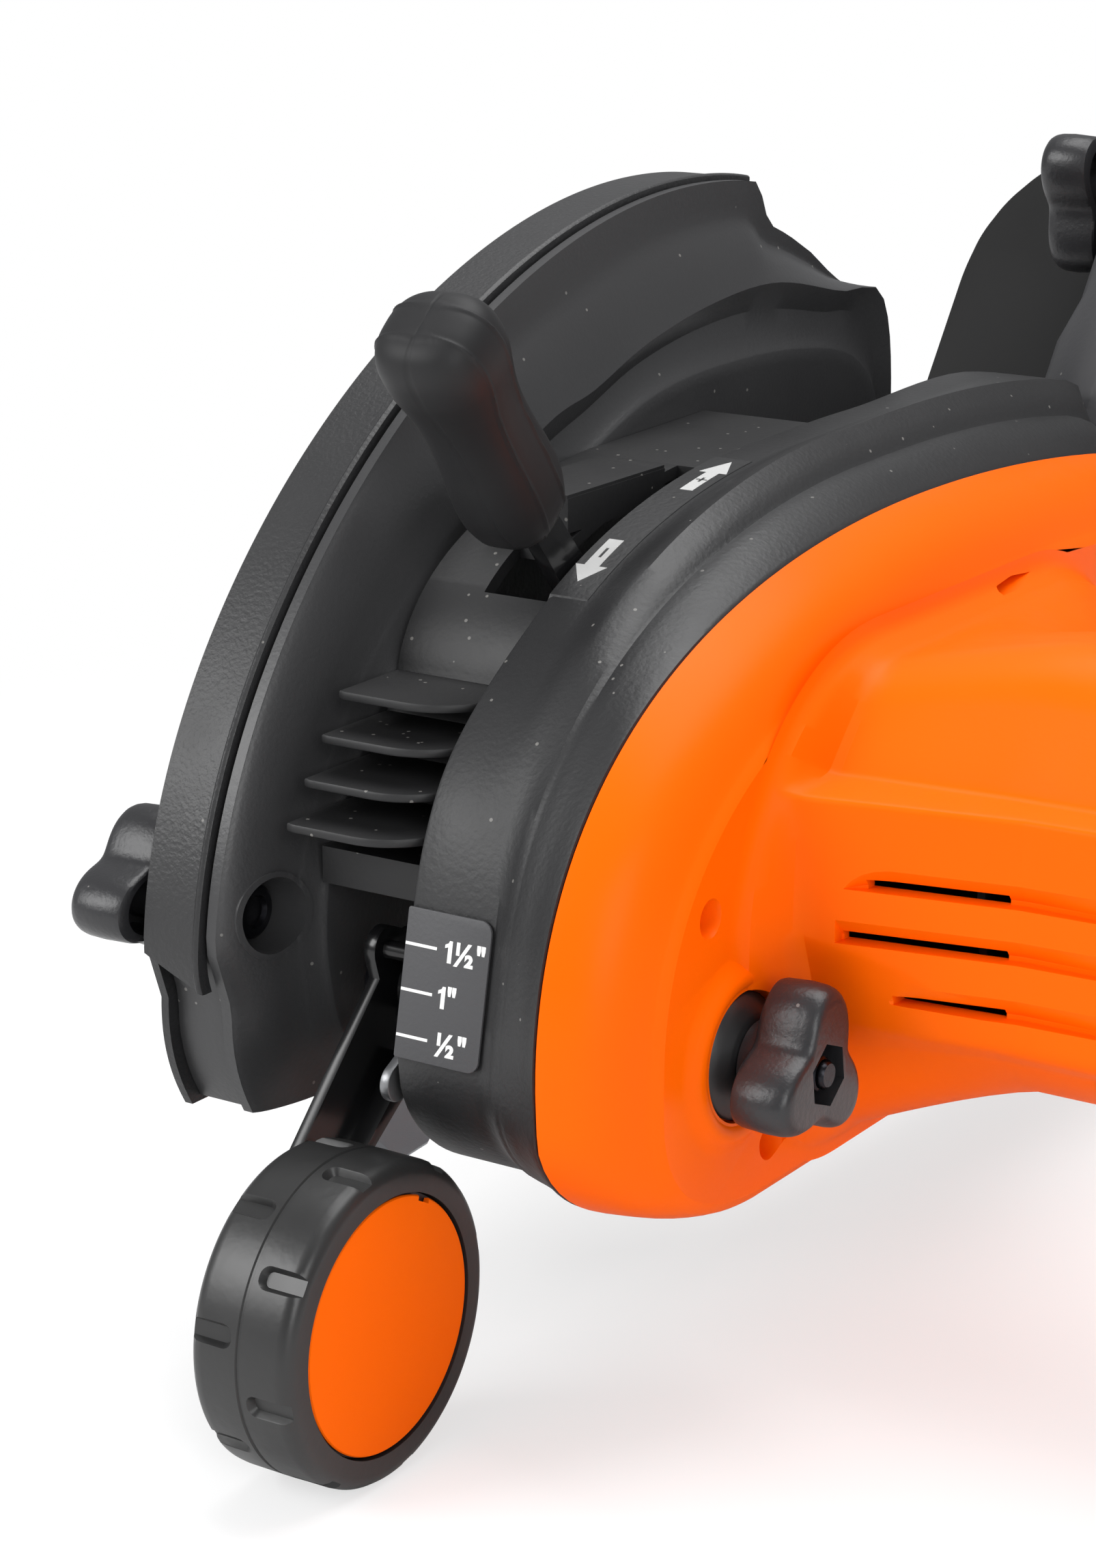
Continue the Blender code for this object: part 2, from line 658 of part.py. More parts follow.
def motor_cover():
    """The orange cover: a crowned rim, a flat face and the motor tube that flares out of it."""
    tube = circle(MOTOR, MOTOR_TUBE_R, HEAD_POINTS)
    root = root_side()
    outside = rim_stations() + [
        (FACE + 0.0030, flange_side()),
        (0.0750, root),
        (0.0980, mix(root, tube, 0.62)),
        (MOTOR_START, tube),
        (MOTOR_END, tube),
    ]
    inner_root = offset(root, WALL)
    bore = circle(MOTOR, MOTOR_TUBE_R - WALL, HEAD_POINTS)
    inside = rim_stations(WALL) + [
        (FACE + 0.0030 - WALL / 2, offset(flange_side(), WALL)),
        (0.0740, inner_root),
        (0.0980, mix(inner_root, bore, 0.62)),
        (MOTOR_START, bore),
        (MOTOR_END, bore),
    ]
    cover = loft("motor_cover", outside + inside[::-1], orange_plastic("motor_cover"), closed=True)
    unite(cover, disc("knob_seat_tool", FACE - 0.0045, FACE + 0.0030, 0.0185, ARM_PIVOT, None, 24))
    cut(cover, drill(FACE - 0.0008, FACE + 0.02, 0.0155, ARM_PIVOT, 24))
    cut(cover, drill(FACE - 0.02, FACE + 0.02, SCREW_R + GAP, ARM_PIVOT))
    for row, (z, left) in enumerate(((0.134, 0.088), (0.1205, 0.084), (0.107, 0.094))):
        low = (left, MOTOR[0] - 0.075, z - 0.0016)
        high = (0.1235, MOTOR[0] - 0.030, z + 0.0016)
        cut(cover, box(f"vent_{row}_tool", low, high))
    for index, place in enumerate(COVER_SCREWS):
        post = disc(f"screw_post_{index}_tool", SEAM + 0.0010, FACE - 0.0005, 0.0062, place, None, 8)
        unite(cover, post)
        cut(cover, drill(FACE - 0.0090, FACE + 0.02, 0.0042, place, 10))
    return cover


def motor_end_cap():
    """The domed end of the motor tube, with its air inlet slots and the rear bearing seat."""
    spigot = tube_bore()
    left = MOTOR_END + GAP
    profile = [(left - 0.0065, spigot - 0.0022), (left - 0.0065, spigot), (left, spigot),
               (left, MOTOR_TUBE_R), (left + 0.006, MOTOR_TUBE_R - 0.0010),
               (left + 0.012, MOTOR_TUBE_R - 0.0070),
               (left + 0.0180, 0.0200), (left + 0.0180, 0.0), (left + 0.0110, 0.0),
               (left + 0.0110, BEARING_R + GAP), (left, BEARING_R + GAP), (left, BEARING_R + 0.003),
               (left + 0.0140, BEARING_R + 0.003), (left + 0.0085, spigot - 0.0035),
               (left, spigot - 0.0022)]
    cap = turned("motor_end_cap", profile, MOTOR, orange_plastic("motor_end_cap"), HEAD_POINTS // 2)
    for step in range(4):
        angle = tau * (step + 0.5) / 4
        along = Vector((cos(angle), sin(angle)))
        side = Vector((-along.y, along.x)) * 0.0018
        slot = [along * 0.019 - side, along * 0.038 - side, along * 0.038 + side, along * 0.019 + side]
        tool = prism(f"inlet_slot_{step}_tool", slot, left + 0.004, left + 0.03)
        tool.location = (0, *MOTOR)
        cut(cap, tool)
    return cap


def motor_parts():
    iron = material("stator_iron", (0.20, 0.20, 0.21), 0.5, 0.8)
    ring("stator", 0.1240, 0.1700, tube_bore(), 0.0310, MOTOR, iron, HEAD_POINTS // 2)
    brush = ring("brush_plate", 0.1775, 0.1800, tube_bore(), 0.0140, MOTOR,
                 material("brush_plate_resin", (0.10, 0.05, 0.02), 0.6), HEAD_POINTS // 2)
    for name, side in (("upper", 1), ("lower", -1)):
        ends = sorted((MOTOR[1] + side * 0.0136, MOTOR[1] + side * 0.030))
        unite(brush, box(name + "_brush_tool", (0.1735, MOTOR[0] - 0.004, ends[0]),
                         (0.1790, MOTOR[0] + 0.004, ends[1])))


# Neck with its louvres, and the depth scale

def neck_cover():
    """The bridge over the gap between the guard and the gear housing, with a slot for the lever."""
    finish = black_plastic("neck_cover")
    roof = bezier((0.076, 0.167), (0.082, 0.190), (0.112, 0.203), (0.160, 0.2065), 6)
    roof += [Vector((0.160, 0.2065)), Vector((0.217, 0.2075)), Vector((0.219, 0.184))]
    inside = [Vector((0.216, 0.184)), Vector((0.214, 0.2045)), Vector((0.160, 0.2035))]
    inside += list(reversed(bezier((0.079, 0.165), (0.085, 0.187), (0.114, 0.200), (0.158, 0.2033), 6)))
    wall = [Vector((0.0605, 0.1310)), Vector((0.0605, 0.1220)), Vector((0.0450, 0.1220)),
            Vector((0.0450, 0.1310)), Vector((0.0575, 0.1310))]
    cover = prism("neck_cover", roof + inside + wall, BOSS_LEFT, HOUSING_LEFT - GAP, finish)
    for index in range(4):
        z = 0.167 - 0.009 * index
        front = 0.052 - 0.007 * index
        back = 0.0587 + (z - 0.131) * 0.514
        top = bezier((-0.016, front), (-0.008, front), (-0.002, front + 0.007),
                     (HOUSING_LEFT - GAP, front + 0.012), 4)
        plan = [Vector((BOSS_LEFT, front))] + top
        plan += [Vector((HOUSING_LEFT - GAP, front + 0.012)), Vector((HOUSING_LEFT - GAP, back)),
                 Vector((BOSS_LEFT, back))]
        unite(cover, slab(f"louvre_{index}_tool", plan, z - 0.002, z))
    slot = box("lever_slot_tool", (LEVER_LEFT - 0.0012, 0.0885, 0.170), (0.0, 0.1560, 0.230))
    gate = box("lever_gate_tool", (-0.0200, 0.0885, 0.170), (0.0, 0.1040, 0.230))
    cut(cover, slot, gate)
    rack = box("rack_tool", (-0.0300, 0.1060, 0.1980), (LEVER_LEFT - 0.0012, 0.1500, 0.2065))
    unite(cover, rack)
    return cover


def slab(name, plan, low, high, finish=None):
    """A plate from a plan outline of (x, y) points, between two heights."""
    bm = bmesh.new()
    rings = [[bm.verts.new((point.x, point.y, z)) for point in plan] for z in (low, high)]
    for index in range(len(plan)):
        bm.faces.new((rings[0][index - 1], rings[0][index], rings[1][index], rings[1][index - 1]))
    bm.faces.new(rings[0])
    bm.faces.new(rings[1])
    return finish_mesh(bm, name, finish)


def scale_plate():
    """A thin grey plate on the straight front of the crown, for the depth marks."""
    low = Vector((0.024, 0.092))
    high = Vector((0.031, 0.127))
    out = Vector((low.y - high.y, high.x - low.x)).normalized()
    near = GAP
    far = GAP + 0.0008
    outline = [low + out * near, low + out * far, high + out * far, high + out * near]
    grey = material("scale_plate_print", (0.08, 0.08, 0.08), 0.6)
    return prism("scale_plate", outline, HOUSING_LEFT, 0.0220, grey)


# Guard over the blade

def guard_shell():
    """The dome: its left edge fits under the cover's band, its right wall closes on the boss."""
    left = around(offset(guard_side(), 0.003 + GAP), SPINDLE, GUARD_POINTS)
    right = around(guard_right_side(), SPINDLE, GUARD_POINTS)
    eye = circle(SPINDLE, 0.0240, GUARD_POINTS)
    wall = 0.0025
    outside = [(SHELL_LEFT, left), (BAND_RIGHT + 0.001, left), (-0.0460, mix(left, right, 0.28)),
               (-0.0405, mix(left, right, 0.76)), (GUARD_RIGHT, right), (GUARD_RIGHT, eye)]
    inside = [(GUARD_RIGHT - wall, eye), (GUARD_RIGHT - wall, offset(mix(left, right, 0.90), wall)),
              (-0.0420, offset(mix(left, right, 0.70), wall)),
              (-0.0470, offset(mix(left, right, 0.26), wall)),
              (BAND_RIGHT, offset(left, wall)), (SHELL_LEFT, offset(left, wall))]
    dome = loft("guard_shell", outside + inside, black_plastic("guard_shell"), closed=True)
    unite(dome, disc("cup_tool", -0.0640, -0.0400, 0.0105, GUARD_SCREW))
    cut(dome, turned("cup_bore_tool", [(-0.0520, 0.0), (-0.0520, 0.0076), (-0.0380, 0.0090),
                                       (-0.0200, 0.0090), (-0.0200, 0.0)], GUARD_SCREW))
    cut(dome, drill(-0.08, -0.04, SCREW_R + GAP, GUARD_SCREW))
    under = [Vector(p) for p in ((-0.05, -0.05), (0.40, -0.05), (0.40, 0.168), (0.345, 0.168),
                                 (0.235, 0.100), (0.170, 0.086), (0.150, 0.086), (0.095, GUARD_BOTTOM),
                                 (-0.05, GUARD_BOTTOM))]
    cut(dome, prism("guard_mouth_tool", under, -0.10, 0.0))
    return dome


def guard_cover():
    """The left plate of the guard, with the band that laps over the dome."""
    side = guard_side()
    plate_edge = side[:-5] + side[-4:]
    cover = prism("guard_cover", plate_edge, COVER_LEFT, SHELL_LEFT - GAP, black_plastic("guard_cover"))
    arch = guard_side()[:19]
    inner = offset(guard_side(), 0.003)[:19]
    band = prism("band_tool", arch + list(reversed(inner)), COVER_LEFT + 0.001, BAND_RIGHT)
    unite(cover, band)
    under = [Vector(p) for p in ((-0.05, -0.05), (0.40, -0.05), (0.40, 0.168), (0.345, 0.168),
                                 (0.235, 0.100), (0.095, 0.058), (-0.05, 0.058))]
    cut(cover, prism("cover_mouth_tool", under, -0.10, 0.0))
    cut(cover, drill(-0.10, -0.05, SCREW_R + GAP, GUARD_SCREW))
    return cover


# Knobs

def wing_outline(size):
    count = 18
    outline = []
    for step in range(count):
        angle = tau * step / count
        radius = size * (0.72 + 0.28 * cos(3 * angle))
        outline.append(Vector((radius * cos(angle), radius * sin(angle))))
    return outline


def wing_knob(name, base, direction, axis, turn, length, stud=0.0, size=1.0):
    """A three winged knob with its foot at the base plane, bored for a screw or with its own stud."""
    foot = [(0.0, 0.45), (0.0035, 0.47), (0.0045, 0.95), (0.82, 0.98), (1.0, 0.80)]
    stations = []
    for height, share in foot:
        reach = height if height < 0.1 else height * length
        wings = wing_outline(KNOB_R * size * share)
        if share < 0.5:
            wings = circle((0, 0), KNOB_R * share, len(wings))
        spun = [Vector((p.x * cos(turn) - p.y * sin(turn), p.x * sin(turn) + p.y * cos(turn)))
                for p in wings]
        stations.append((base + direction * reach, spun))
    knob = loft(name, stations, black_plastic(name))
    knob.location = (0, *axis)
    if stud:
        ends = sorted((base - direction * stud, base + direction * 0.008))
        unite(knob, disc(name + "_stud_tool", *ends, SCREW_R, axis, None, 16))
        return knob
    ends = sorted((base - direction * 0.005, base + direction * (length + 0.01)))
    top = sorted((base + direction * (length - 0.007), base + direction * (length + 0.01)))
    cut(knob, disc(name + "_hole_tool", *ends, SCREW_R + GAP, axis, None, 16))
    cut(knob, disc(name + "_hex_tool", *top, 0.0075, axis, None, 6))
    return knob


def screw(name, tip, head, direction, axis):
    """A machine screw along X from its head to its tip."""
    under = head + direction * 0.0045
    profile = [(head, 0.0), (head, 0.0065), (under, 0.0065), (under, SCREW_R),
               (tip - direction * 0.001, SCREW_R), (tip, SCREW_R - 0.001), (tip, 0.0)]
    return turned(name, profile, axis, painted_steel(name), 12)


def knobs_and_bolts():
    washer_left = FACE - 0.0005
    turned("knob_washer", [(washer_left, SCREW_R + GAP), (washer_left, 0.0148), (washer_left + 0.003, 0.0142),
                           (washer_left + 0.0055, 0.0100), (washer_left + 0.0060, SCREW_R + GAP)],
           ARM_PIVOT, rubber("knob_washer"), 20)
    wing_knob("pivot_knob", washer_left + 0.0063, 1, ARM_PIVOT, radians(100), 0.0185)
    wing_knob("guard_knob", COVER_LEFT - GAP, -1, GUARD_SCREW, radians(68), 0.020)
    screw("pivot_bolt", FACE + 0.0245, -0.0335, 1, ARM_PIVOT)
    screw("guard_bolt", COVER_LEFT - 0.0190, -0.0472, -1, GUARD_SCREW)


# Depth adjustment

def depth_mechanism():
    arm_axis = pivot("arm_axis", (0, *ARM_PIVOT))
    lever_axis = pivot("lever_axis", (0, *SPINDLE))
    link_axis = pivot("link_axis", (0, *link_ends()[1]))
    carry(arm_axis, wheel_arm(), depth_pointer(), front_axle())
    carry(lever_axis, depth_lever(), lever_grip())
    carry(link_axis, depth_link())


def link_ends():
    crank = (ARM_PIVOT[0] + ARM_CRANK * cos(ARM_CRANK_ANGLE),
             ARM_PIVOT[1] + ARM_CRANK * sin(ARM_CRANK_ANGLE))
    lever = (SPINDLE[0] + LINK_RADIUS * cos(LINK_ANGLE), SPINDLE[1] + LINK_RADIUS * sin(LINK_ANGLE))
    return crank, lever


def bar_outline(start, end, start_radius, end_radius, steps=5):
    """Two round ends joined by their tangents, like a pressed link."""
    a = Vector(start)
    b = Vector(end)
    span = b - a
    heading = atan2(span.y, span.x)
    tilt = acos((start_radius - end_radius) / span.length)
    outline = []
    for step in range(steps + 1):
        angle = heading + tilt + (tau - 2 * tilt) * step / steps
        outline.append(a + Vector((cos(angle), sin(angle))) * start_radius)
    for step in range(steps + 1):
        angle = heading - tilt + 2 * tilt * step / steps
        outline.append(b + Vector((cos(angle), sin(angle))) * end_radius)
    return outline


def wheel_arm():
    """A pressed arm with a flange, welded to its pivot sleeve, the link's stud and the axle nut."""
    crank = link_ends()[0]
    finish = painted_steel("wheel_arm")
    side = (ARM_LEFT, ARM_LEFT + SHEET)
    plate = prism("wheel_arm", bar_outline(ARM_PIVOT, FRONT_AXLE, 0.0135, 0.0085), *side, finish)
    ear = prism("arm_ear_tool", bar_outline(ARM_PIVOT, crank, 0.0120, 0.0055), *side)
    along = (Vector(FRONT_AXLE) - Vector(ARM_PIVOT)).normalized()
    over = Vector((-along.y, along.x))
    start = Vector(ARM_PIVOT) + along * 0.016
    end = Vector(FRONT_AXLE) - along * 0.040
    rim = [start + over * 0.0055, end + over * 0.0050, end + over * 0.0075, start + over * 0.0105]
    flange = prism("arm_flange_tool", rim, ARM_LEFT + 0.001, ARM_LEFT + 0.0085)
    sleeve = disc("arm_sleeve_tool", ARM_LEFT + 0.001, LEVER_RIGHT, SLEEVE_R, ARM_PIVOT)
    stud = disc("crank_stud_tool", ARM_LEFT - 0.0012, LINK_RIGHT + 0.0015, PIN_R, crank, None, 12)
    nut = disc("weld_nut_tool", ARM_LEFT - 0.0055, ARM_LEFT + 0.001, 0.0075, FRONT_AXLE, None, 6)
    unite(plate, ear, flange, sleeve, stud, nut)
    cut(plate, drill(ARM_LEFT - 0.01, 0.01, SCREW_R + GAP, ARM_PIVOT),
        drill(ARM_LEFT - 0.01, ARM_LEFT + 0.01, AXLE_R + GAP, FRONT_AXLE))
    return plate


def depth_pointer():
    """A finger on the arm's sleeve whose tip passes the marks of the scale."""
    angle = radians(197)
    tip = Vector(ARM_PIVOT) + Vector((cos(angle), sin(angle))) * (POINTER_R - 0.004)
    finish = material("depth_pointer_grey_zinc", (0.32, 0.32, 0.33), 0.45, 0.6)
    finger = prism("depth_pointer", bar_outline(ARM_PIVOT, tip, 0.0105, 0.0045), -0.0055,
                   LEVER_RIGHT - 0.0005, finish)
    cut(finger, disc("finger_bore_tool", -0.02, 0.01, SLEEVE_R + GAP, ARM_PIVOT))
    return finger


def front_axle():
    """The shouldered bolt that carries the front wheel on the left arm."""
    profile = [(0.0105, 0.0), (0.0105, 0.0070), (0.0075, 0.0070), (0.0075, AXLE_R),
               (-FRONT_WHEEL_WIDTH / 2 - 0.0005, AXLE_R), (-FRONT_WHEEL_WIDTH / 2 - 0.0005, 0.0070),
               (ARM_LEFT + SHEET + GAP, 0.0070), (ARM_LEFT + SHEET + GAP, AXLE_R),
               (ARM_LEFT - 0.0070, AXLE_R), (ARM_LEFT - 0.0070, 0.0)]
    return turned("front_axle_bolt", profile, FRONT_AXLE, steel("front_axle_bolt"), 12)


def depth_lever():
    """A flat lever that turns on the spindle boss and reaches up through the neck's slot."""
    heading = Vector((cos(LEVER_ANGLE), sin(LEVER_ANGLE)))
    side = Vector((-heading.y, heading.x)) * LEVER_HALF
    axis = Vector(SPINDLE)
    stem = [axis + heading * 0.022 - side, axis + heading * (GRIP_END - 0.012) - side * 0.7,
            axis + heading * (GRIP_END - 0.012) + side * 0.7, axis + heading * 0.022 + side]
    lever = prism("depth_lever", stem, LEVER_LEFT, LEVER_RIGHT, painted_steel("depth_lever"))
    unite(lever, disc("lever_ring_tool", LEVER_LEFT, LEVER_RIGHT, LEVER_RING_R, SPINDLE, None, 24))
    profile = [(LINK_LEFT - 0.0013, 0.0), (LINK_LEFT - 0.0013, 0.0036), (LINK_LEFT - GAP, 0.0036),
               (LINK_LEFT - GAP, PIN_R), (LEVER_RIGHT - 0.0010, PIN_R), (LEVER_RIGHT - 0.0010, 0.0)]
    unite(lever, turned("lever_stud_tool", profile, link_ends()[1], None, 12))
    cut(lever, drill(LEVER_LEFT - 0.01, LEVER_RIGHT + 0.01, SPINDLE_BOSS_R + GAP, SPINDLE, 24))
    return lever


def depth_link():
    """The flat link between lever and arm. Its crank end keeps clearance round the pin."""
    crank, lever = link_ends()
    link = prism("depth_link", bar_outline(lever, crank, 0.0052, 0.0045), LINK_LEFT, LINK_RIGHT,
                 steel("depth_link"))
    cut(link, drill(LINK_LEFT - 0.01, LINK_RIGHT + 0.01, PIN_R + GAP, lever, 12),
        drill(LINK_LEFT - 0.01, LINK_RIGHT + 0.01, PIN_R + 0.0012, crank))
    return link


def lever_grip():
    """A soft grip pushed over the lever: a flared skirt, a slim waist and a mushroom cap."""
    bm = bmesh.new()
    sections = [(0.0, 0.0090, 0.0095), (0.005, 0.0125, 0.0135), (0.014, 0.0135, 0.0145),
                (0.032, 0.0128, 0.0130), (0.048, 0.0150, 0.0138), (0.058, 0.0165, 0.0145),
                (0.067, 0.0150, 0.0130), (GRIP_END - GRIP_START, 0.0100, 0.0085)]
    heading = Vector((0, cos(LEVER_ANGLE), sin(LEVER_ANGLE)))
    across = Vector((1, 0, 0))
    depth = heading.cross(across)
    middle = Vector(((LEVER_LEFT + LEVER_RIGHT) / 2, 0, 0))
    count = 16
    rings = []
    for height, wide, deep in sections:
        ring_points = []
        for step in range(count):
            angle = tau * step / count
            a = abs(cos(angle)) ** 0.8 * (1 if cos(angle) > 0 else -1)
            b = abs(sin(angle)) ** 0.8 * (1 if sin(angle) > 0 else -1)
            place = middle + heading * (GRIP_START + height) + across * a * wide + depth * b * deep
            ring_points.append(bm.verts.new(place))
        rings.append(ring_points)
    for near, far in zip(rings, rings[1:]):
        for index in range(count):
            bm.faces.new((near[index - 1], near[index], far[index], far[index - 1]))
    bm.faces.new(rings[0])
    bm.faces.new(rings[-1])
    grip = finish_mesh(bm, "lever_grip", rubber("lever_grip"))
    grip.location = (0, *SPINDLE)
    side = Vector((-heading.z, heading.y)) * (LEVER_HALF + GAP)
    flat = Vector((heading.y, heading.z))
    axis = Vector(SPINDLE)
    hole = [axis + flat * (GRIP_START - 0.01) - side, axis + flat * (GRIP_END - 0.0117) - side,
            axis + flat * (GRIP_END - 0.0117) + side, axis + flat * (GRIP_START - 0.01) + side]
    cut(grip, prism("grip_slot_tool", hole, LEVER_LEFT - GAP, LEVER_RIGHT + GAP))
    return grip


# Wheels

def tyre(name, radius, width, seat, axis, middle, grooves):
    """A solid tyre with rounded shoulders and staggered grooves in both halves of its tread."""
    half = width / 2
    outer = radius / cos(pi / WHEEL_FACETS)
    profile = [(middle - half, seat), (middle - half, outer - 0.0030),
               (middle - half + 0.0020, outer), (middle + half - 0.0020, outer),
               (middle + half, outer - 0.0030), (middle + half, seat)]
    body = turned(name, profile, axis, rubber(name), WHEEL_FACETS, pi / WHEEL_FACETS)
    if grooves:
        right = (middle + 0.0015, middle + half + 0.002)
        left = (middle - half - 0.002, middle - 0.0015)
        cut(body, groove_tool(name + "_right_groove_tool", right, radius, axis, 0.5, grooves),
            groove_tool(name + "_left_groove_tool", left, radius, axis, -0.5, grooves))
    return body


def groove_tool(name, ends, radius, axis, shift, grooves):
    """Short bars round the tread, joined in one cutting tool."""
    bm = bmesh.new()
    for step in range(grooves):
        angle = -pi / 2 + tau * step / grooves + shift * tau / grooves / 2
        out = Vector((0, cos(angle), sin(angle)))
        across = Vector((0, -sin(angle), cos(angle)))
        corners = []
        for x in ends:
            for reach, side in ((-0.0015, -1), (0.004, -1), (0.004, 1), (-0.0015, 1)):
                place = Vector((x, 0, 0)) + out * (radius + reach) + across * side * 0.0018
                corners.append(bm.verts.new(place))
        for face in ((0, 1, 2, 3), (4, 5, 6, 7), (0, 1, 5, 4), (1, 2, 6, 5), (2, 3, 7, 6),
                     (3, 0, 4, 7)):
            bm.faces.new([corners[i] for i in face])
    tool = finish_mesh(bm, name, None)
    tool.location = (0, *axis)
    return tool


def wheel_hub(name, radius, width, axis, middle, bore, finish):
    """A moulded hub with a rim, a web and a boss, open on its inner side."""
    half = width / 2
    profile = [(middle - half, radius - 0.003), (middle - half, radius), (middle + half - 0.002, radius),
               (middle + half - 0.002, bore + 0.0075), (middle + half - 0.007, bore + 0.0075),
               (middle + half - 0.007, bore), (middle - half, bore), (middle - half, bore + 0.004),
               (middle + half - 0.010, bore + 0.004), (middle + half - 0.010, radius - 0.003)]
    return turned(name, profile, axis, finish, WHEEL_FACETS, pi / WHEEL_FACETS)


def front_wheel():
    axis = pivot("front_wheel_axis", (0, *FRONT_AXLE))
    body = tyre("front_tyre", FRONT_WHEEL_R, FRONT_WHEEL_WIDTH, FRONT_HUB_R + GAP, FRONT_AXLE, 0.0, GROOVES)
    hub = wheel_hub("front_hub", FRONT_HUB_R, FRONT_WHEEL_WIDTH, FRONT_AXLE, 0.0, AXLE_R + GAP,
                    black_plastic("front_hub"))
    face = FRONT_WHEEL_WIDTH / 2
    cap = disc("front_wheel_cap", face - 0.002 + GAP, face - 0.0002, FRONT_HUB_R - 0.0004, FRONT_AXLE,
               orange_plastic("front_wheel_cap"), WHEEL_FACETS, pi / WHEEL_FACETS)
    carry(axis, body, hub, cap)


def rear_wheels():
    for side, middle in (("left", REAR_LEFT_X), ("right", REAR_RIGHT_X)):
        axis = pivot(f"rear_{side}_wheel_axis", (0, *REAR_AXLE))
        body = tyre(f"rear_tyre_{side}", REAR_WHEEL_R, REAR_WHEEL_WIDTH, REAR_HUB_R + GAP, REAR_AXLE,
                    middle, 0)
        half = REAR_WHEEL_WIDTH / 2 - 0.001
        hub = ring(f"rear_hub_{side}", middle - half, middle + half, REAR_HUB_R, AXLE_R + GAP, REAR_AXLE,
                   orange_plastic(f"rear_hub_{side}"), WHEEL_FACETS, pi / WHEEL_FACETS)
        carry(axis, body, hub)
    head = REAR_LEFT_X - REAR_WHEEL_WIDTH / 2 - 0.0008
    end = REAR_RIGHT_X + REAR_WHEEL_WIDTH / 2 + 0.0065
    turned("rear_axle", [(head - 0.004, 0.0), (head - 0.004, 0.006), (head, 0.008), (head, AXLE_R),
                         (end, AXLE_R), (end, 0.0)], REAR_AXLE, steel("rear_axle"), 12)
    turned("axle_cap", [(end + 0.0020, 0.0), (end + 0.0020, 0.0075), (end - 0.0057, 0.0085),
                        (end - 0.0057, AXLE_R + GAP), (end + GAP, AXLE_R + GAP), (end + GAP, 0.0)],
           REAR_AXLE, black_plastic("axle_cap"), 12)
    axle_bracket()


def axle_bracket():
    """A pressed leg on the housing's left wall, welded to the tube that holds the rear axle."""
    right = HOUSING_LEFT - GAP
    leg = rounded([(0.270, 0.075, 0.008), (0.352, 0.036, 0.012), (0.388, 0.040, 0.012),
                   (0.378, 0.125, 0.010), (0.290, 0.135, 0.010)], 3)
    bracket = prism("axle_bracket", leg, right - SHEET, right, painted_steel("axle_bracket"))
    tube_ends = (REAR_LEFT_X + REAR_WHEEL_WIDTH / 2 + GAP, REAR_RIGHT_X - REAR_WHEEL_WIDTH / 2 - GAP)
    unite(bracket, disc("axle_tube_tool", *tube_ends, 0.0080, REAR_AXLE, None, 20))
    cut(bracket, drill(-0.1, 0.2, AXLE_R + GAP, REAR_AXLE, 20))
    for index, place in enumerate(((0.300, 0.108), (0.350, 0.108))):
        cut(bracket, drill(-0.02, 0.02, 0.0027, place, 12))


# Shaft, tubes and handles, in the shaft's leaning frame

def turned_up(name, profile, finish=None, facets=16, centre=(SHAFT_X, 0.0)):
    """Turns a closed profile of (radius, z) points round an upright axis of the shaft frame."""
    bm = bmesh.new()
    verts = [bm.verts.new((r, 0, z)) for r, z in profile]
    edges = [bm.edges.new((verts[i - 1], verts[i])) for i in range(len(verts))]
    bmesh.ops.spin(bm, geom=verts + edges, cent=(0, 0, 0), axis=(0, 0, 1), angle=tau, steps=facets,
                   use_merge=True)
    solid = finish_mesh(bm, name, finish)
    solid.location = (*centre, 0)
    return solid


def pipe(name, low, high, outer, inner, finish=None, facets=16, centre=(SHAFT_X, 0.0)):
    return turned_up(name, [(inner, low), (outer, low), (outer, high), (inner, high)], finish, facets, centre)


def shaft_socket(frame):
    """The clamp socket: its foot is cut to a saddle that sits on the head."""
    grey = material("shaft_socket_grey_nylon", (0.06, 0.06, 0.062), 0.5)
    foot = SHIELD_Y - GAP
    socket = turned_up("shaft_socket", [(TUBE_R + GAP, -0.030), (foot, -0.030), (foot, 0.030),
                                        (SOCKET_R, 0.045), (SOCKET_R, SOCKET_TOP),
                                        (TUBE_R + GAP, SOCKET_TOP)], grey)
    pad = box("shield_pad_tool", (SHAFT_X - 0.014, 0.012, 0.040),
              (SHAFT_X + 0.014, SHIELD_Y - GAP, 0.095))
    cut(pad, turned_up("pad_bore_tool", [(0.0, 0.0), (TUBE_R + 0.004, 0.0), (TUBE_R + 0.004, 0.2),
                                         (0.0, 0.2)]))
    unite(socket, pad)
    bolt = drill(SHAFT_X - 0.05, SHAFT_X + 0.05, SCREW_R + GAP, (0.0, SOCKET_KNOB_Z))
    cut(socket, bolt)
    hang(frame, socket, pad)
    cut(socket, head_envelope())
    return socket


def debris_shield(frame):
    """A moulded flap behind the blade, with big round upper corners."""
    corners = [(-0.057, -0.004, 0.004), (0.078, -0.004, 0.004), (0.078, 0.118, 0.030),
               (-0.057, 0.118, 0.050)]
    outline = rounded(corners, 6)
    bm = bmesh.new()
    rings = [[bm.verts.new((p.x, y, p.y)) for p in outline] for y in (SHIELD_Y, SHIELD_Y + SHEET)]
    for index in range(len(outline)):
        bm.faces.new((rings[0][index - 1], rings[0][index], rings[1][index], rings[1][index - 1]))
    bm.faces.new(rings[0])
    bm.faces.new(rings[1])
    shield = finish_mesh(bm, "debris_shield", rubber("debris_shield"))
    hang(frame, shield)
    cut(shield, head_envelope())
    return shield


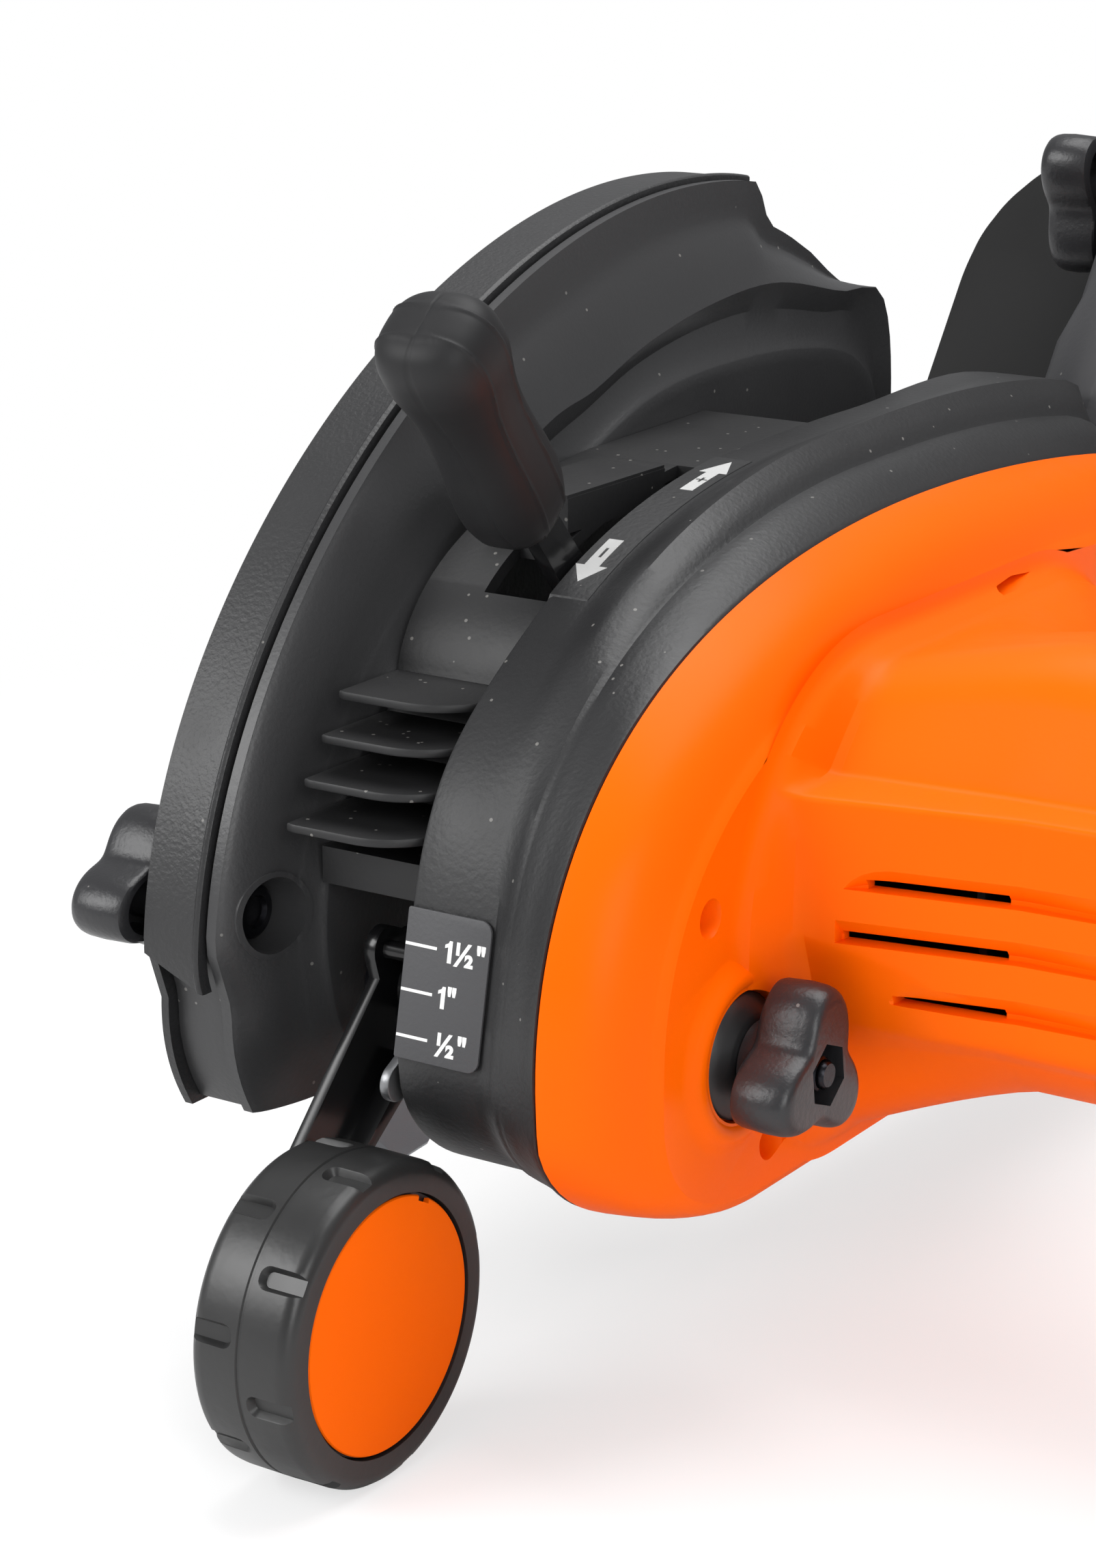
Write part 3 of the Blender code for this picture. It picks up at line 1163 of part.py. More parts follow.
def shaft(frame):
    """Socket, tubes and the clamp between them."""
    shaft_socket(frame)
    debris_shield(frame)
    black = material("tube_black_enamel", (0.015, 0.015, 0.016), 0.35, 0.3)
    inner = TUBE_R - TUBE_WALL
    lower = pipe("lower_tube", 0.032, LOWER_TUBE_TOP, TUBE_R, inner, black)
    cut(lower, drill(SHAFT_X - 0.05, SHAFT_X + 0.05, SCREW_R + GAP, (0.0, SOCKET_KNOB_Z)))
    knob = wing_knob("socket_knob", SHAFT_X - SOCKET_R - GAP, -1, (0.0, SOCKET_KNOB_Z), radians(55), 0.019,
                     2 * SOCKET_R, 1.17)
    top = LOWER_TUBE_TOP
    wall = [(TUBE_R + GAP, top - 0.045), (0.0210, top - 0.045), (0.0225, top - 0.035),
            (0.0225, top + 0.010), (0.0200, top + 0.018), (inner, top + 0.018), (inner, top + GAP),
            (TUBE_R + GAP, top + GAP)]
    collar = turned_up("tube_clamp", wall, black_plastic("tube_clamp"))
    ears = box("clamp_ears_tool", (SHAFT_X - 0.009, -0.0380, LOWER_TUBE_TOP - 0.030),
               (SHAFT_X + 0.009, -0.018, LOWER_TUBE_TOP))
    gap = box("clamp_gap_tool", (SHAFT_X - 0.0035, -0.0500, LOWER_TUBE_TOP - 0.040),
              (SHAFT_X + 0.0035, -0.0232, LOWER_TUBE_TOP + 0.010))
    unite(collar, ears)
    cut(collar, gap)
    cut(collar, drill(SHAFT_X - 0.02, SHAFT_X + 0.02, PIN_R + GAP, CLAMP_PIN, 12))
    hang(frame, lower, knob, collar, clamp_lever())


def clamp_lever():
    """The cam lever that squeezes the clamp, on its own trunnions, folded down along the tube."""
    y, z = CLAMP_PIN
    outline = rounded([(y - 0.0060, z + 0.0060, 0.004), (y + 0.0060, z + 0.0060, 0.004),
                       (y + 0.0050, z - 0.0200, 0.004), (y + 0.0010, z - 0.0700, 0.003),
                       (y - 0.0050, z - 0.0700, 0.003), (y - 0.0060, z - 0.0200, 0.010)], 3)
    lever = prism("clamp_lever", outline, SHAFT_X - 0.0032, SHAFT_X + 0.0032, orange_plastic("clamp_lever"))
    unite(lever, disc("clamp_trunnion_tool", SHAFT_X - 0.0095, SHAFT_X + 0.0095, PIN_R, CLAMP_PIN, None, 12))
    return lever


def auxiliary_handle(frame):
    """The D handle for the second hand, held in a saddle clamp on the lower tube."""
    clamp = pipe("handle_clamp", AUX_Z - 0.016, AUX_Z + 0.016, 0.0195, TUBE_R + GAP,
                 black_plastic("handle_clamp"))
    cheek = box("clamp_cheek_tool", (SHAFT_X - 0.016, -0.046, AUX_Z - 0.012),
                (SHAFT_X + 0.016, -0.016, AUX_Z + 0.012))
    slot = box("clamp_slot_tool", (SHAFT_X - 0.0083, -0.060, AUX_Z - 0.030),
               (SHAFT_X + 0.0083, -0.0205, AUX_Z + 0.030))
    unite(clamp, cheek)
    cut(clamp, slot)
    axis = (-0.034, AUX_Z)
    cut(clamp, drill(SHAFT_X - 0.05, SHAFT_X + 0.05, SCREW_R + GAP, axis))
    cut(clamp, turned_up("clamp_rebore_tool", [(0.0, 0.2), (TUBE_R + GAP, 0.2), (TUBE_R + GAP, 0.5),
                                               (0.0, 0.5)]))
    corners = [(SHAFT_X - 0.0710, -0.1700, 0.030), (SHAFT_X + 0.0710, -0.1700, 0.030),
               (SHAFT_X + 0.0560, -0.0700, 0.034), (SHAFT_X - 0.0560, -0.0700, 0.034)]
    path = [Vector((p.x, p.y, AUX_Z)) for p in rounded(corners, 4)]
    loop = sweep_loop("auxiliary_handle", path, 0.0115, 10, black_plastic("auxiliary_handle"))
    lug = prism("lug_tool", bar_outline(axis, (-0.068, AUX_Z), 0.0105, 0.0095), SHAFT_X - 0.0080,
                SHAFT_X + 0.0080)
    unite(loop, lug)
    cut(loop, drill(SHAFT_X - 0.05, SHAFT_X + 0.05, SCREW_R + GAP, axis))
    knob = wing_knob("handle_knob", SHAFT_X + 0.0163, 1, axis, radians(20), 0.020, 0.0320)
    hang(frame, clamp, loop, knob)


def grip_outline():
    """The closed loop of the rear handle, in the shaft frame's (y, z)."""
    return rounded([(-0.0200, HANDLE_START, 0.006), (-0.0290, HANDLE_START + 0.090, 0.060),
                    (-0.0230, HANDLE_START + 0.235, 0.030), (0.0500, HANDLE_START + 0.268, 0.060),
                    (0.1260, HANDLE_START + 0.232, 0.030), (0.1240, HANDLE_START + 0.165, 0.030),
                    (0.0640, HANDLE_START + 0.080, 0.050), (0.0200, HANDLE_START + 0.040, 0.040),
                    (0.0200, HANDLE_START, 0.006)], 3)


def finger_hole():
    return rounded([(0.0060, HANDLE_START + 0.125, 0.014), (0.0080, HANDLE_START + 0.212, 0.016),
                    (0.0500, HANDLE_START + 0.232, 0.040), (0.0960, HANDLE_START + 0.206, 0.014),
                    (0.0930, HANDLE_START + 0.172, 0.014), (0.0480, HANDLE_START + 0.112, 0.030)], 2)


def handle_half(name, side):
    """One moulded half of the rear handle: a hollow shell that meets the other on the middle plane."""
    middle = SHAFT_X + side * GAP / 2
    reach = [middle, middle + side * 0.0120, middle + side * 0.0165, middle + side * 0.0180]
    outline = grip_outline()
    insets = (0.0, 0.0, 0.0020, 0.0055)
    half = loft(name, [(x, offset(outline, d)) for x, d in zip(reach, insets)], black_plastic(name))
    hole = prism(name + "_finger_tool", finger_hole(), SHAFT_X - 0.05, SHAFT_X + 0.05)
    cut(half, hole)
    cavity = loft(name + "_cavity_tool", [(middle - side * 0.002, offset(outline, WALL)),
                                          (middle + side * 0.0150, offset(outline, WALL + 0.0020))])
    core = prism(name + "_core_tool", offset(finger_hole(), -WALL), SHAFT_X - 0.05, SHAFT_X + 0.05)
    cut(cavity, core)
    cut(half, cavity)
    neck = turned_up(name + "_neck_tool", [(0.0, HANDLE_START - 0.01), (0.0122 + GAP, HANDLE_START - 0.01),
                                           (0.0122 + GAP, HANDLE_START + 0.060), (0.0, HANDLE_START + 0.060)])
    cut(half, neck)
    window = box(name + "_trigger_tool", (SHAFT_X - 0.0078, 0.0130, HANDLE_START + 0.195),
                 (SHAFT_X + 0.0078, 0.0870, HANDLE_START + 0.2460))
    cut(half, window)
    inlet = box(name + "_inlet_tool", (SHAFT_X - 0.0135, 0.1090, HANDLE_START + 0.184),
                (SHAFT_X + 0.0135, 0.1400, HANDLE_START + 0.212))
    cut(half, inlet)
    return half


def rear_handle(frame):
    """The upper tube with the handle, its trigger, lock button, switch and power inlet."""
    black = material("upper_tube_black_enamel", (0.015, 0.015, 0.016), 0.35, 0.3)
    upper = pipe("upper_tube", UPPER_TUBE_START, HANDLE_START + 0.059, 0.0122, 0.0107, black)
    halves = [handle_half("handle_shell_left", -1), handle_half("handle_shell_right", 1)]
    y, z = TRIGGER_PIVOT
    lever = rounded([(y - 0.0040, z + 0.0050, 0.003), (y + 0.0040, z + 0.0060, 0.003),
                     (0.0700, HANDLE_START + 0.2380, 0.006), (0.0830, HANDLE_START + 0.2200, 0.004),
                     (0.0720, HANDLE_START + 0.2060, 0.006), (0.0450, HANDLE_START + 0.2080, 0.020),
                     (y - 0.0030, HANDLE_START + 0.2120, 0.004)], 3)
    trigger = prism("trigger", lever, SHAFT_X - 0.0072, SHAFT_X + 0.0072, orange_plastic("trigger"))
    unite(trigger, disc("trunnion_tool", SHAFT_X - 0.0148, SHAFT_X + 0.0148, PIN_R, TRIGGER_PIVOT, None, 12))
    for half in halves:
        cut(half, disc(half.name + "_pin_tool", SHAFT_X - 0.0151, SHAFT_X + 0.0151, PIN_R + GAP,
                       TRIGGER_PIVOT, None, 12))
    switch = box("power_switch", (SHAFT_X - 0.0146, -0.0170, HANDLE_START + 0.120),
                 (SHAFT_X + 0.0146, 0.0000, HANDLE_START + 0.165),
                 material("switch_black", (0.02, 0.02, 0.02), 0.5))
    y, z = LOCK_BUTTON
    left = SHAFT_X - 0.0180
    button = disc("lock_button", left - 0.0045, left + 0.0100, 0.0060, LOCK_BUTTON,
                  orange_plastic("lock_button"), 20)
    collar = ring("button_collar_tool", left + 0.0062, left + 0.0085, 0.0075, 0.0050, LOCK_BUTTON, None, 20)
    unite(button, collar)
    cut(halves[0], drill(left - 0.01, left + 0.006, 0.0060 + GAP, LOCK_BUTTON, 20))
    inlet = box("inlet_socket", (SHAFT_X - 0.0132, 0.1040, HANDLE_START + 0.1843),
                (SHAFT_X + 0.0132, 0.1330, HANDLE_START + 0.2117),
                material("inlet_black", (0.02, 0.02, 0.02), 0.5))
    mouth = box("inlet_mouth_tool", (SHAFT_X - 0.0105, 0.1150, HANDLE_START + 0.187),
                (SHAFT_X + 0.0105, 0.1400, HANDLE_START + 0.209))
    cut(inlet, mouth)
    hang(frame, upper, trigger, switch, button, inlet, *halves)


def build():
    clear_scene()
    gear_housing()
    gear_plate()
    drive_train()
    motor_cover()
    motor_end_cap()
    motor_parts()
    bearings()
    neck_cover()
    scale_plate()
    guard_shell()
    guard_cover()
    knobs_and_bolts()
    depth_mechanism()
    front_wheel()
    rear_wheels()
    shaft_frame = pivot("shaft_frame", (0, *SHAFT_FOOT), lean=-SHAFT_LEAN)
    shaft(shaft_frame)
    auxiliary_handle(shaft_frame)
    rear_handle(shaft_frame)


build()
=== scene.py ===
"""Electric lawn edger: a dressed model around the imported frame, seen from the front right."""
from math import acos, atan2, cos, exp, pi, radians, sin, sqrt, tan, tau

import bmesh
import bpy
from mathutils import Matrix, Vector
from mathutils.geometry import interpolate_bezier


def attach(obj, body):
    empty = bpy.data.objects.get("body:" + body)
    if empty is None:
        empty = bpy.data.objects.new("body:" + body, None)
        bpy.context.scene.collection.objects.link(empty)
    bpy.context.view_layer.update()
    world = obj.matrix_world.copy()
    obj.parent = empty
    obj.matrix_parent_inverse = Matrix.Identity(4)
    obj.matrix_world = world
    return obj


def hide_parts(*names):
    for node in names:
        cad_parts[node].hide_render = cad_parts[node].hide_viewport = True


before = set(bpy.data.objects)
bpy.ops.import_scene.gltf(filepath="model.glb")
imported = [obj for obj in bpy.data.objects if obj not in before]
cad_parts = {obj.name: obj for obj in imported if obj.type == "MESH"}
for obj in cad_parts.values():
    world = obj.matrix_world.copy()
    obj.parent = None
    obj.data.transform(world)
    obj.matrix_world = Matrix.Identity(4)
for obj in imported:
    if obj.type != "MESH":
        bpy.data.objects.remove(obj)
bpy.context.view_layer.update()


# Camera and studio.
# A long lens looks down on the nose of the machine. The floor is pale paper that runs out into
# white, and three wide soft boxes light the head from the left, the right and above.
eye = bpy.data.cameras.new("studio_camera")
eye.lens = 85.0
camera = bpy.data.objects.new("studio_camera", eye)
camera.location = (0.4640, -0.6191, 0.3902)
camera.rotation_euler = (radians(73.61), 0.0, radians(33.36))
bpy.context.scene.collection.objects.link(camera)
bpy.context.scene.camera = camera
bpy.context.scene.view_settings.view_transform = "Standard"


def linear(hex_colour):
    """An sRGB hex colour as the linear values that a shader works with."""
    parts = [int(hex_colour[i:i + 2], 16) / 255 for i in (1, 3, 5)]
    return [p / 12.92 if p <= 0.04045 else ((p + 0.055) / 1.055) ** 2.4 for p in parts] + [1.0]


def add(tree, kind, inputs=None, **settings):
    """Adds a node to a tree, with its settings, its values and its links."""
    made = tree.nodes.new(kind)
    for name, value in settings.items():
        setattr(made, name, value)
    for name, value in (inputs or {}).items():
        if isinstance(value, bpy.types.NodeSocket):
            tree.links.new(value, made.inputs[name])
        else:
            made.inputs[name].default_value = value
    return made


def looked_at(tree):
    """1 where the camera sees the surface itself or sees it through glass, and 0 in other rays."""
    seen = add(tree, "ShaderNodeLightPath")
    return add(tree, "ShaderNodeMath",
               {0: seen.outputs["Is Camera Ray"], 1: seen.outputs["Is Transmission Ray"]},
               operation="MAXIMUM").outputs[0]


WHITE = (1.0, 1.0, 1.0, 1.0)
room = bpy.data.worlds.new("white_room")
room.use_nodes = True
bpy.context.scene.world = room
tree = room.node_tree
dome = add(tree, "ShaderNodeBackground", {"Color": linear("#f4f5f7"), "Strength": 0.42})
white = add(tree, "ShaderNodeBackground", {"Color": WHITE, "Strength": 1.0})
both = add(tree, "ShaderNodeMixShader", {0: looked_at(tree), 1: dome.outputs[0], 2: white.outputs[0]})
tree.links.new(both.outputs[0], tree.nodes["World Output"].inputs["Surface"])

bpy.ops.object.select_all(action="DESELECT")
bpy.ops.mesh.primitive_plane_add(size=12.0, location=(0.0, 0.0, 0.0))
floor = bpy.context.object
floor.name = "studio_floor"
paper = bpy.data.materials.new("white_seamless_paper")
paper.use_nodes = True
tree = paper.node_tree
shader = tree.nodes["Principled BSDF"]
shader.inputs["Base Color"].default_value = linear("#e8e8e8")
shader.inputs["Roughness"].default_value = 0.9
shade = add(tree, "ShaderNodeBsdfDiffuse", {"Color": (0.40, 0.40, 0.40, 1.0)})
glow = add(tree, "ShaderNodeEmission", {"Color": WHITE, "Strength": 0.64})
lit = add(tree, "ShaderNodeAddShader", {0: shade.outputs[0], 1: glow.outputs[0]})
far_white = add(tree, "ShaderNodeEmission", {"Color": WHITE, "Strength": 1.0})
place = add(tree, "ShaderNodeTexCoord")
reach = add(tree, "ShaderNodeVectorMath", {0: place.outputs["Object"]}, operation="LENGTH")
away = add(tree, "ShaderNodeMapRange",
           {"Value": reach.outputs["Value"], "From Min": 0.30, "From Max": 0.75},
           interpolation_type="SMOOTHSTEP")
paper_seen = add(tree, "ShaderNodeMixShader",
                 {0: away.outputs[0], 1: lit.outputs[0], 2: far_white.outputs[0]})
both = add(tree, "ShaderNodeMixShader", {0: looked_at(tree), 1: shader.outputs[0], 2: paper_seen.outputs[0]})
tree.links.new(both.outputs[0], tree.nodes["Material Output"].inputs["Surface"])
floor.data.materials.append(paper)


def soft_box(name, place, aim, width, height, power):
    """A flat lamp of this size, in watts, that faces a point on the head."""
    lamp = bpy.data.lights.new(name, "AREA")
    lamp.shape = "RECTANGLE"
    lamp.size = width
    lamp.size_y = height
    lamp.energy = power
    box = bpy.data.objects.new(name, lamp)
    box.location = place
    box.rotation_euler = (Vector(aim) - Vector(place)).to_track_quat("-Z", "Y").to_euler()
    bpy.context.scene.collection.objects.link(box)


soft_box("left_front_box", (-1.1, -1.3, 1.1), (0.0, 0.1, 0.12), 1.2, 1.0, 26)
soft_box("right_front_box", (1.5, -1.2, 0.9), (0.05, 0.1, 0.12), 0.9, 1.2, 14)
soft_box("top_box", (0.1, 0.5, 1.7), (0.0, 0.15, 0.1), 1.6, 1.2, 27)


# Gear housing: the black crown.
# One glass filled nylon moulding, hollow and open towards the motor, with a long boss for the
# spindle on its left. Spark erosion of the mould leaves a fine even grain.
def finish(name, colour, rough, spread=0.05, grain_mm=0.7, relief=0.15, mottle=0.06, dust=0.0,
           metallic=0.0, specular=0.5, drawn=(1, 1, 1)):
    """A surface with clouded colour and gloss, a grain of a real size and stray dust."""
    made = bpy.data.materials.new(name)
    made.use_nodes = True
    tree = made.node_tree
    shader = tree.nodes["Principled BSDF"]
    shader.inputs["Metallic"].default_value = metallic
    if not metallic:
        shader.inputs["Specular IOR Level"].default_value = specular
    place = add(tree, "ShaderNodeTexCoord").outputs["Object"]
    along = add(tree, "ShaderNodeMapping", {"Vector": place, "Scale": drawn}).outputs[0]
    # The clouds are about 30 mm wide. A noise cell holds two grains, so 1000 mm hold 500 / grain.
    cloud = add(tree, "ShaderNodeTexNoise", {"Vector": place, "Scale": 30.0, "Detail": 5.0})
    grain = add(tree, "ShaderNodeTexNoise", {"Vector": along, "Scale": 500 / grain_mm, "Detail": 2.0})
    low = [c * (1 - mottle) for c in linear(colour)[:3]] + [1.0]
    high = [min(1.0, c * (1 + mottle)) for c in linear(colour)[:3]] + [1.0]
    tint = add(tree, "ShaderNodeMix", {0: cloud.outputs["Fac"], 6: low, 7: high}, data_type="RGBA").outputs[2]
    gloss = add(tree, "ShaderNodeMapRange", {"Value": cloud.outputs["Fac"], "From Min": 0.3, "From Max": 0.7,
                                             "To Min": rough - spread, "To Max": rough + spread})
    if dust:
        # Each cell is 2.6 mm wide, and the share given by dust holds a speck of under 1 mm.
        cells = add(tree, "ShaderNodeTexVoronoi", {"Vector": place, "Scale": 380.0})
        drawn_lot = add(tree, "ShaderNodeSeparateColor", {0: cells.outputs["Color"]})
        few = add(tree, "ShaderNodeMath", {0: drawn_lot.outputs[0], 1: 1.0 - dust}, operation="GREATER_THAN")
        small = add(tree, "ShaderNodeMath", {0: cells.outputs["Distance"], 1: 0.17}, operation="LESS_THAN")
        speck = add(tree, "ShaderNodeMath", {0: few.outputs[0], 1: small.outputs[0]}, operation="MULTIPLY")
        faint = add(tree, "ShaderNodeMath", {0: speck.outputs[0], 1: 0.30}, operation="MULTIPLY")
        tint = add(tree, "ShaderNodeMix", {0: faint.outputs[0], 6: tint, 7: linear("#b9b6b0")},
                   data_type="RGBA").outputs[2]
    tree.links.new(tint, shader.inputs["Base Color"])
    tree.links.new(gloss.outputs[0], shader.inputs["Roughness"])
    raised = add(tree, "ShaderNodeBump", {"Height": grain.outputs["Fac"], "Strength": relief,
                                          "Distance": 0.0003})
    tree.links.new(raised.outputs[0], shader.inputs["Normal"])
    return made


# Grain of 0.7 mm reads as an even matt sparkle, with pale dust caught in it.
grained_nylon = finish("spark_grained_black_nylon", "#212122", 0.48, grain_mm=0.7, relief=0.40, dust=0.05)

HEAD_AXIS = Vector((0.133223, 0.130186))
SPINDLE = (0.160, 0.122)
ARM_PIVOT = (0.0625, 0.0945)
SEAM_X = 0.0440
WALL = 0.0028
BOSS_LEFT = -0.0367
BORE_R = 0.0043
ROW = 220


def toward(turn):
    """The way a turned radius points in the side view."""
    return Vector((cos(turn), sin(turn)))


def curve(start, handle_1, handle_2, end, steps):
    """Points of one cubic curve in the side view, as (y, z), without its last point."""
    knots = [Vector((*point, 0.0)) for point in (start, handle_1, handle_2, end)]
    return [Vector(point[:2]) for point in interpolate_bezier(*knots, steps + 1)][:-1]


def rounded(corners, steps=8):
    """An outline through corners (a, b, radius), each turned with an arc."""
    outline = []
    for index, (a, b, radius) in enumerate(corners):
        here = Vector((a, b))
        back = (Vector(corners[index - 1][:2]) - here).normalized()
        ahead = (Vector(corners[(index + 1) % len(corners)][:2]) - here).normalized()
        if radius == 0:
            outline.append(here)
            continue
        half = back.angle(ahead) / 2
        centre = here + (back + ahead).normalized() * radius / sin(half)
        first = here + back * radius / tan(half) - centre
        last = here + ahead * radius / tan(half) - centre
        start = atan2(first.y, first.x)
        sweep = (atan2(last.y, last.x) - start + pi) % tau - pi
        turns = [start + sweep * step / steps for step in range(steps + 1)]
        outline += [centre + toward(angle) * radius for angle in turns]
    return outline


def ring_of(centre, radius, count, turn=0.0):
    """The corners of a regular outline round a centre."""
    turns = [turn + tau * step / count for step in range(count)]
    return [Vector((centre[0] + radius * cos(a), centre[1] + radius * sin(a))) for a in turns]


def inset(outline, distance):
    """The outline moved inwards, or outwards by a negative distance."""
    area = sum(a.x * b.y - b.x * a.y for a, b in zip(outline, outline[1:] + outline[:1]))
    side = 1.0 if area > 0 else -1.0
    moved = []
    for index, here in enumerate(outline):
        back = (here - outline[index - 1]).normalized()
        ahead = (outline[(index + 1) % len(outline)] - here).normalized()
        normal = Vector((-back.y - ahead.y, back.x + ahead.x)).normalized() * side
        square = max(0.5, sqrt(max(0.0, (1 + back.dot(ahead)) / 2)))
        moved.append(here + normal * distance / square)
    return moved


def read_at(outline, centre, turns):
    """The outline read again where rays at these angles leave it."""
    middle = Vector(centre)
    points = []
    for turn in turns:
        ray = toward(turn)
        reach = 0.0
        for a, b in zip(outline, outline[1:] + outline[:1]):
            edge = b - a
            cross = ray.x * edge.y - ray.y * edge.x
            if abs(cross) < 1e-12:
                continue
            start = a - middle
            on_ray = (start.x * edge.y - start.y * edge.x) / cross
            on_edge = (start.x * ray.y - start.y * ray.x) / cross
            if -1e-9 <= on_edge <= 1 + 1e-9:
                reach = max(reach, on_ray)
        points.append(middle + ray * reach)
    return points


def mix(first, second, share):
    """The outline that lies this share of the way from one outline to another."""
    return [a.lerp(b, share) for a, b in zip(first, second)]


def skin(name, stations, closed=False):
    """Extrudes a ring of points from outline to outline, given as (x, outline).

    Where a row runs out of its plane, x is a list with a place for each point.
    A closed skin comes back to its first outline, as round a wall. Another one is capped.
    """
    bpy.ops.object.select_all(action="DESELECT")
    bpy.ops.mesh.primitive_circle_add(vertices=len(stations[0][1]), radius=0.1,
                                      fill_type="NOTHING" if closed else "NGON")
    piece = bpy.context.object
    piece.name = piece.data.name = name
    bpy.ops.object.mode_set(mode="EDIT")
    bpy.ops.mesh.select_all(action="SELECT")
    edit = bmesh.from_edit_mesh(piece.data)
    edit.verts.ensure_lookup_table()
    row = list(edit.verts)
    before = None
    for x, outline in stations + stations[:1] if closed else stations:
        if before:
            bpy.ops.mesh.extrude_region_move()
            edit = bmesh.from_edit_mesh(piece.data)
            spots = {}
            for vert in edit.verts:
                if vert.select:
                    spots.setdefault(tuple(round(c, 7) for c in vert.co), []).append(vert)
            row = [spots[spot].pop() for spot in before]
        depths = x if isinstance(x, list) else [x] * len(outline)
        for vert, depth, point in zip(row, depths, outline):
            vert.co = (depth, point[0], point[1])
        before = [tuple(round(c, 7) for c in vert.co) for vert in row]
        bmesh.update_edit_mesh(piece.data)
    bpy.ops.mesh.select_all(action="SELECT")
    if closed:
        bpy.ops.mesh.remove_doubles(threshold=1e-6)
    bpy.ops.mesh.normals_make_consistent(inside=False)
    bpy.ops.object.mode_set(mode="OBJECT")
    return piece


def slab(name, left, right, outline):
    """An outline made a plate between two places along X."""
    return skin(name, [(left, outline), (right, outline)])


def rod(name, left, right, radius, centre, sides=48, turn=0.02):
    """A round bar along X, as a boss, a bore or a pocket."""
    return slab(name, left, right, ring_of(centre, radius, sides, turn))


def brick(name, low, high):
    """A square cornered cutter between two points."""
    sides = ((low[1], low[2]), (high[1], low[2]), (high[1], high[2]), (low[1], high[2]))
    return slab(name, low[0], high[0], [Vector(side) for side in sides])


def combine(piece, operation, *tools, solver="MANIFOLD"):
    """Joins tools to a piece or cuts them from it, and clears the tools away."""
    bpy.ops.object.select_all(action="DESELECT")
    bpy.context.view_layer.objects.active = piece
    for tool in tools:
        step = piece.modifiers.new(tool.name, "BOOLEAN")
        step.operation = operation
        step.object = tool
        step.solver = solver
        bpy.ops.object.modifier_apply(modifier=step.name)
        bpy.data.objects.remove(tool, do_unlink=True)
    return piece


def break_edges(piece, width, segments=2, angle=30):
    """Rounds the sharp edges, as a mould or a press leaves them."""
    step = piece.modifiers.new("broken_edges", "BEVEL")
    step.width = width
    step.segments = segments
    step.limit_method = "ANGLE"
    step.angle_limit = radians(angle)
    bpy.context.view_layer.objects.active = piece
    bpy.ops.object.modifier_apply(modifier=step.name)
    return piece


def fit(piece, surface, body, node=None, smooth=30):
    """Gives a finished piece its surface and its body, and lets it stand for its CAD node."""
    bpy.ops.object.select_all(action="DESELECT")
    piece.select_set(True)
    bpy.context.view_layer.objects.active = piece
    bpy.ops.object.shade_smooth_by_angle(angle=radians(smooth))
    piece.data.materials.clear()
    piece.data.materials.append(surface)
    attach(piece, body)
    if node:
        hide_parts(node)
    return piece


def belly(front, low_front):
    """The rear and the underside that the head outlines share."""
    rear = curve((0.330, 0.186), (0.365, 0.180), (0.385, 0.170), (0.385, 0.135), 16)
    under = curve((0.385, 0.135), (0.385, 0.080), (0.330, 0.052), (0.250, 0.052), 20)
    corner = curve((front + 0.060, 0.0515), (front + 0.030, 0.0535), (front + 0.004, 0.066),
                   (front, low_front), 20)
    return rear + under + corner


even_turns = [tau * step / ROW for step in range(ROW)]
seam_whole = curve((0.0127, 0.097), (0.0127, 0.160), (0.068, 0.200), (0.190, 0.200), 60)
seam_whole += curve((0.190, 0.200), (0.240, 0.200), (0.290, 0.194), (0.330, 0.186), 16) + belly(0.0127, 0.086)
seam_line = read_at(seam_whole, HEAD_AXIS, even_turns)
crest_whole = [Vector((0.024, 0.092))]
crest_whole += curve((0.031, 0.127), (0.042, 0.180), (0.105, 0.2135), (0.190, 0.2135), 50)
crest_whole += curve((0.190, 0.2135), (0.240, 0.2155), (0.290, 0.2135), (0.330, 0.2035), 16)
crest_whole += belly(0.024, 0.088)
crest_line = read_at(crest_whole, HEAD_AXIS, even_turns)
CROWN_TOP = 0.150


def crown_band(outer, inner, front, rear):
    """The top of the crown between two depths below its surface."""
    over = sorted([p for p in inset(crest_line, outer) if p.y > CROWN_TOP], key=lambda p: p.x)
    below = sorted([p for p in inset(crest_line, inner) if p.y > CROWN_TOP], key=lambda p: -p.x)
    return [p for p in over + below if front < p.x < rear]


def blend(share, sunk=0.0):
    """An outline between the crown's crest and its seam with the cover, sunk a little."""
    return inset(mix(crest_line, seam_line, share), sunk)


def eased(value):
    """A value held between 0 and 1, which leaves and reaches both without a corner."""
    held = min(1.0, max(0.0, value))
    return held * held * (3 - 2 * held)


SHOULDER_DEPTH = 0.0045
# The shoulder grows over these lengths, up the front and back from the strip's rear end.
SHOULDER_RISE = 0.038
SHOULDER_REAR, SHOULDER_RUN = 0.300, 0.070
MILLIMETRE = 0.001


def shoulder(share):
    """The crown's outline, let down along its left where the strip lies."""
    let_down = []
    for point, under in zip(crest_line, inset(crest_line, MILLIMETRE)):
        depth = SHOULDER_DEPTH * share * eased((point.y - CROWN_TOP) / SHOULDER_RISE)
        depth *= eased((SHOULDER_REAR - point.x) / SHOULDER_RUN)
        let_down.append(point + (under - point) * depth / MILLIMETRE)
    return let_down


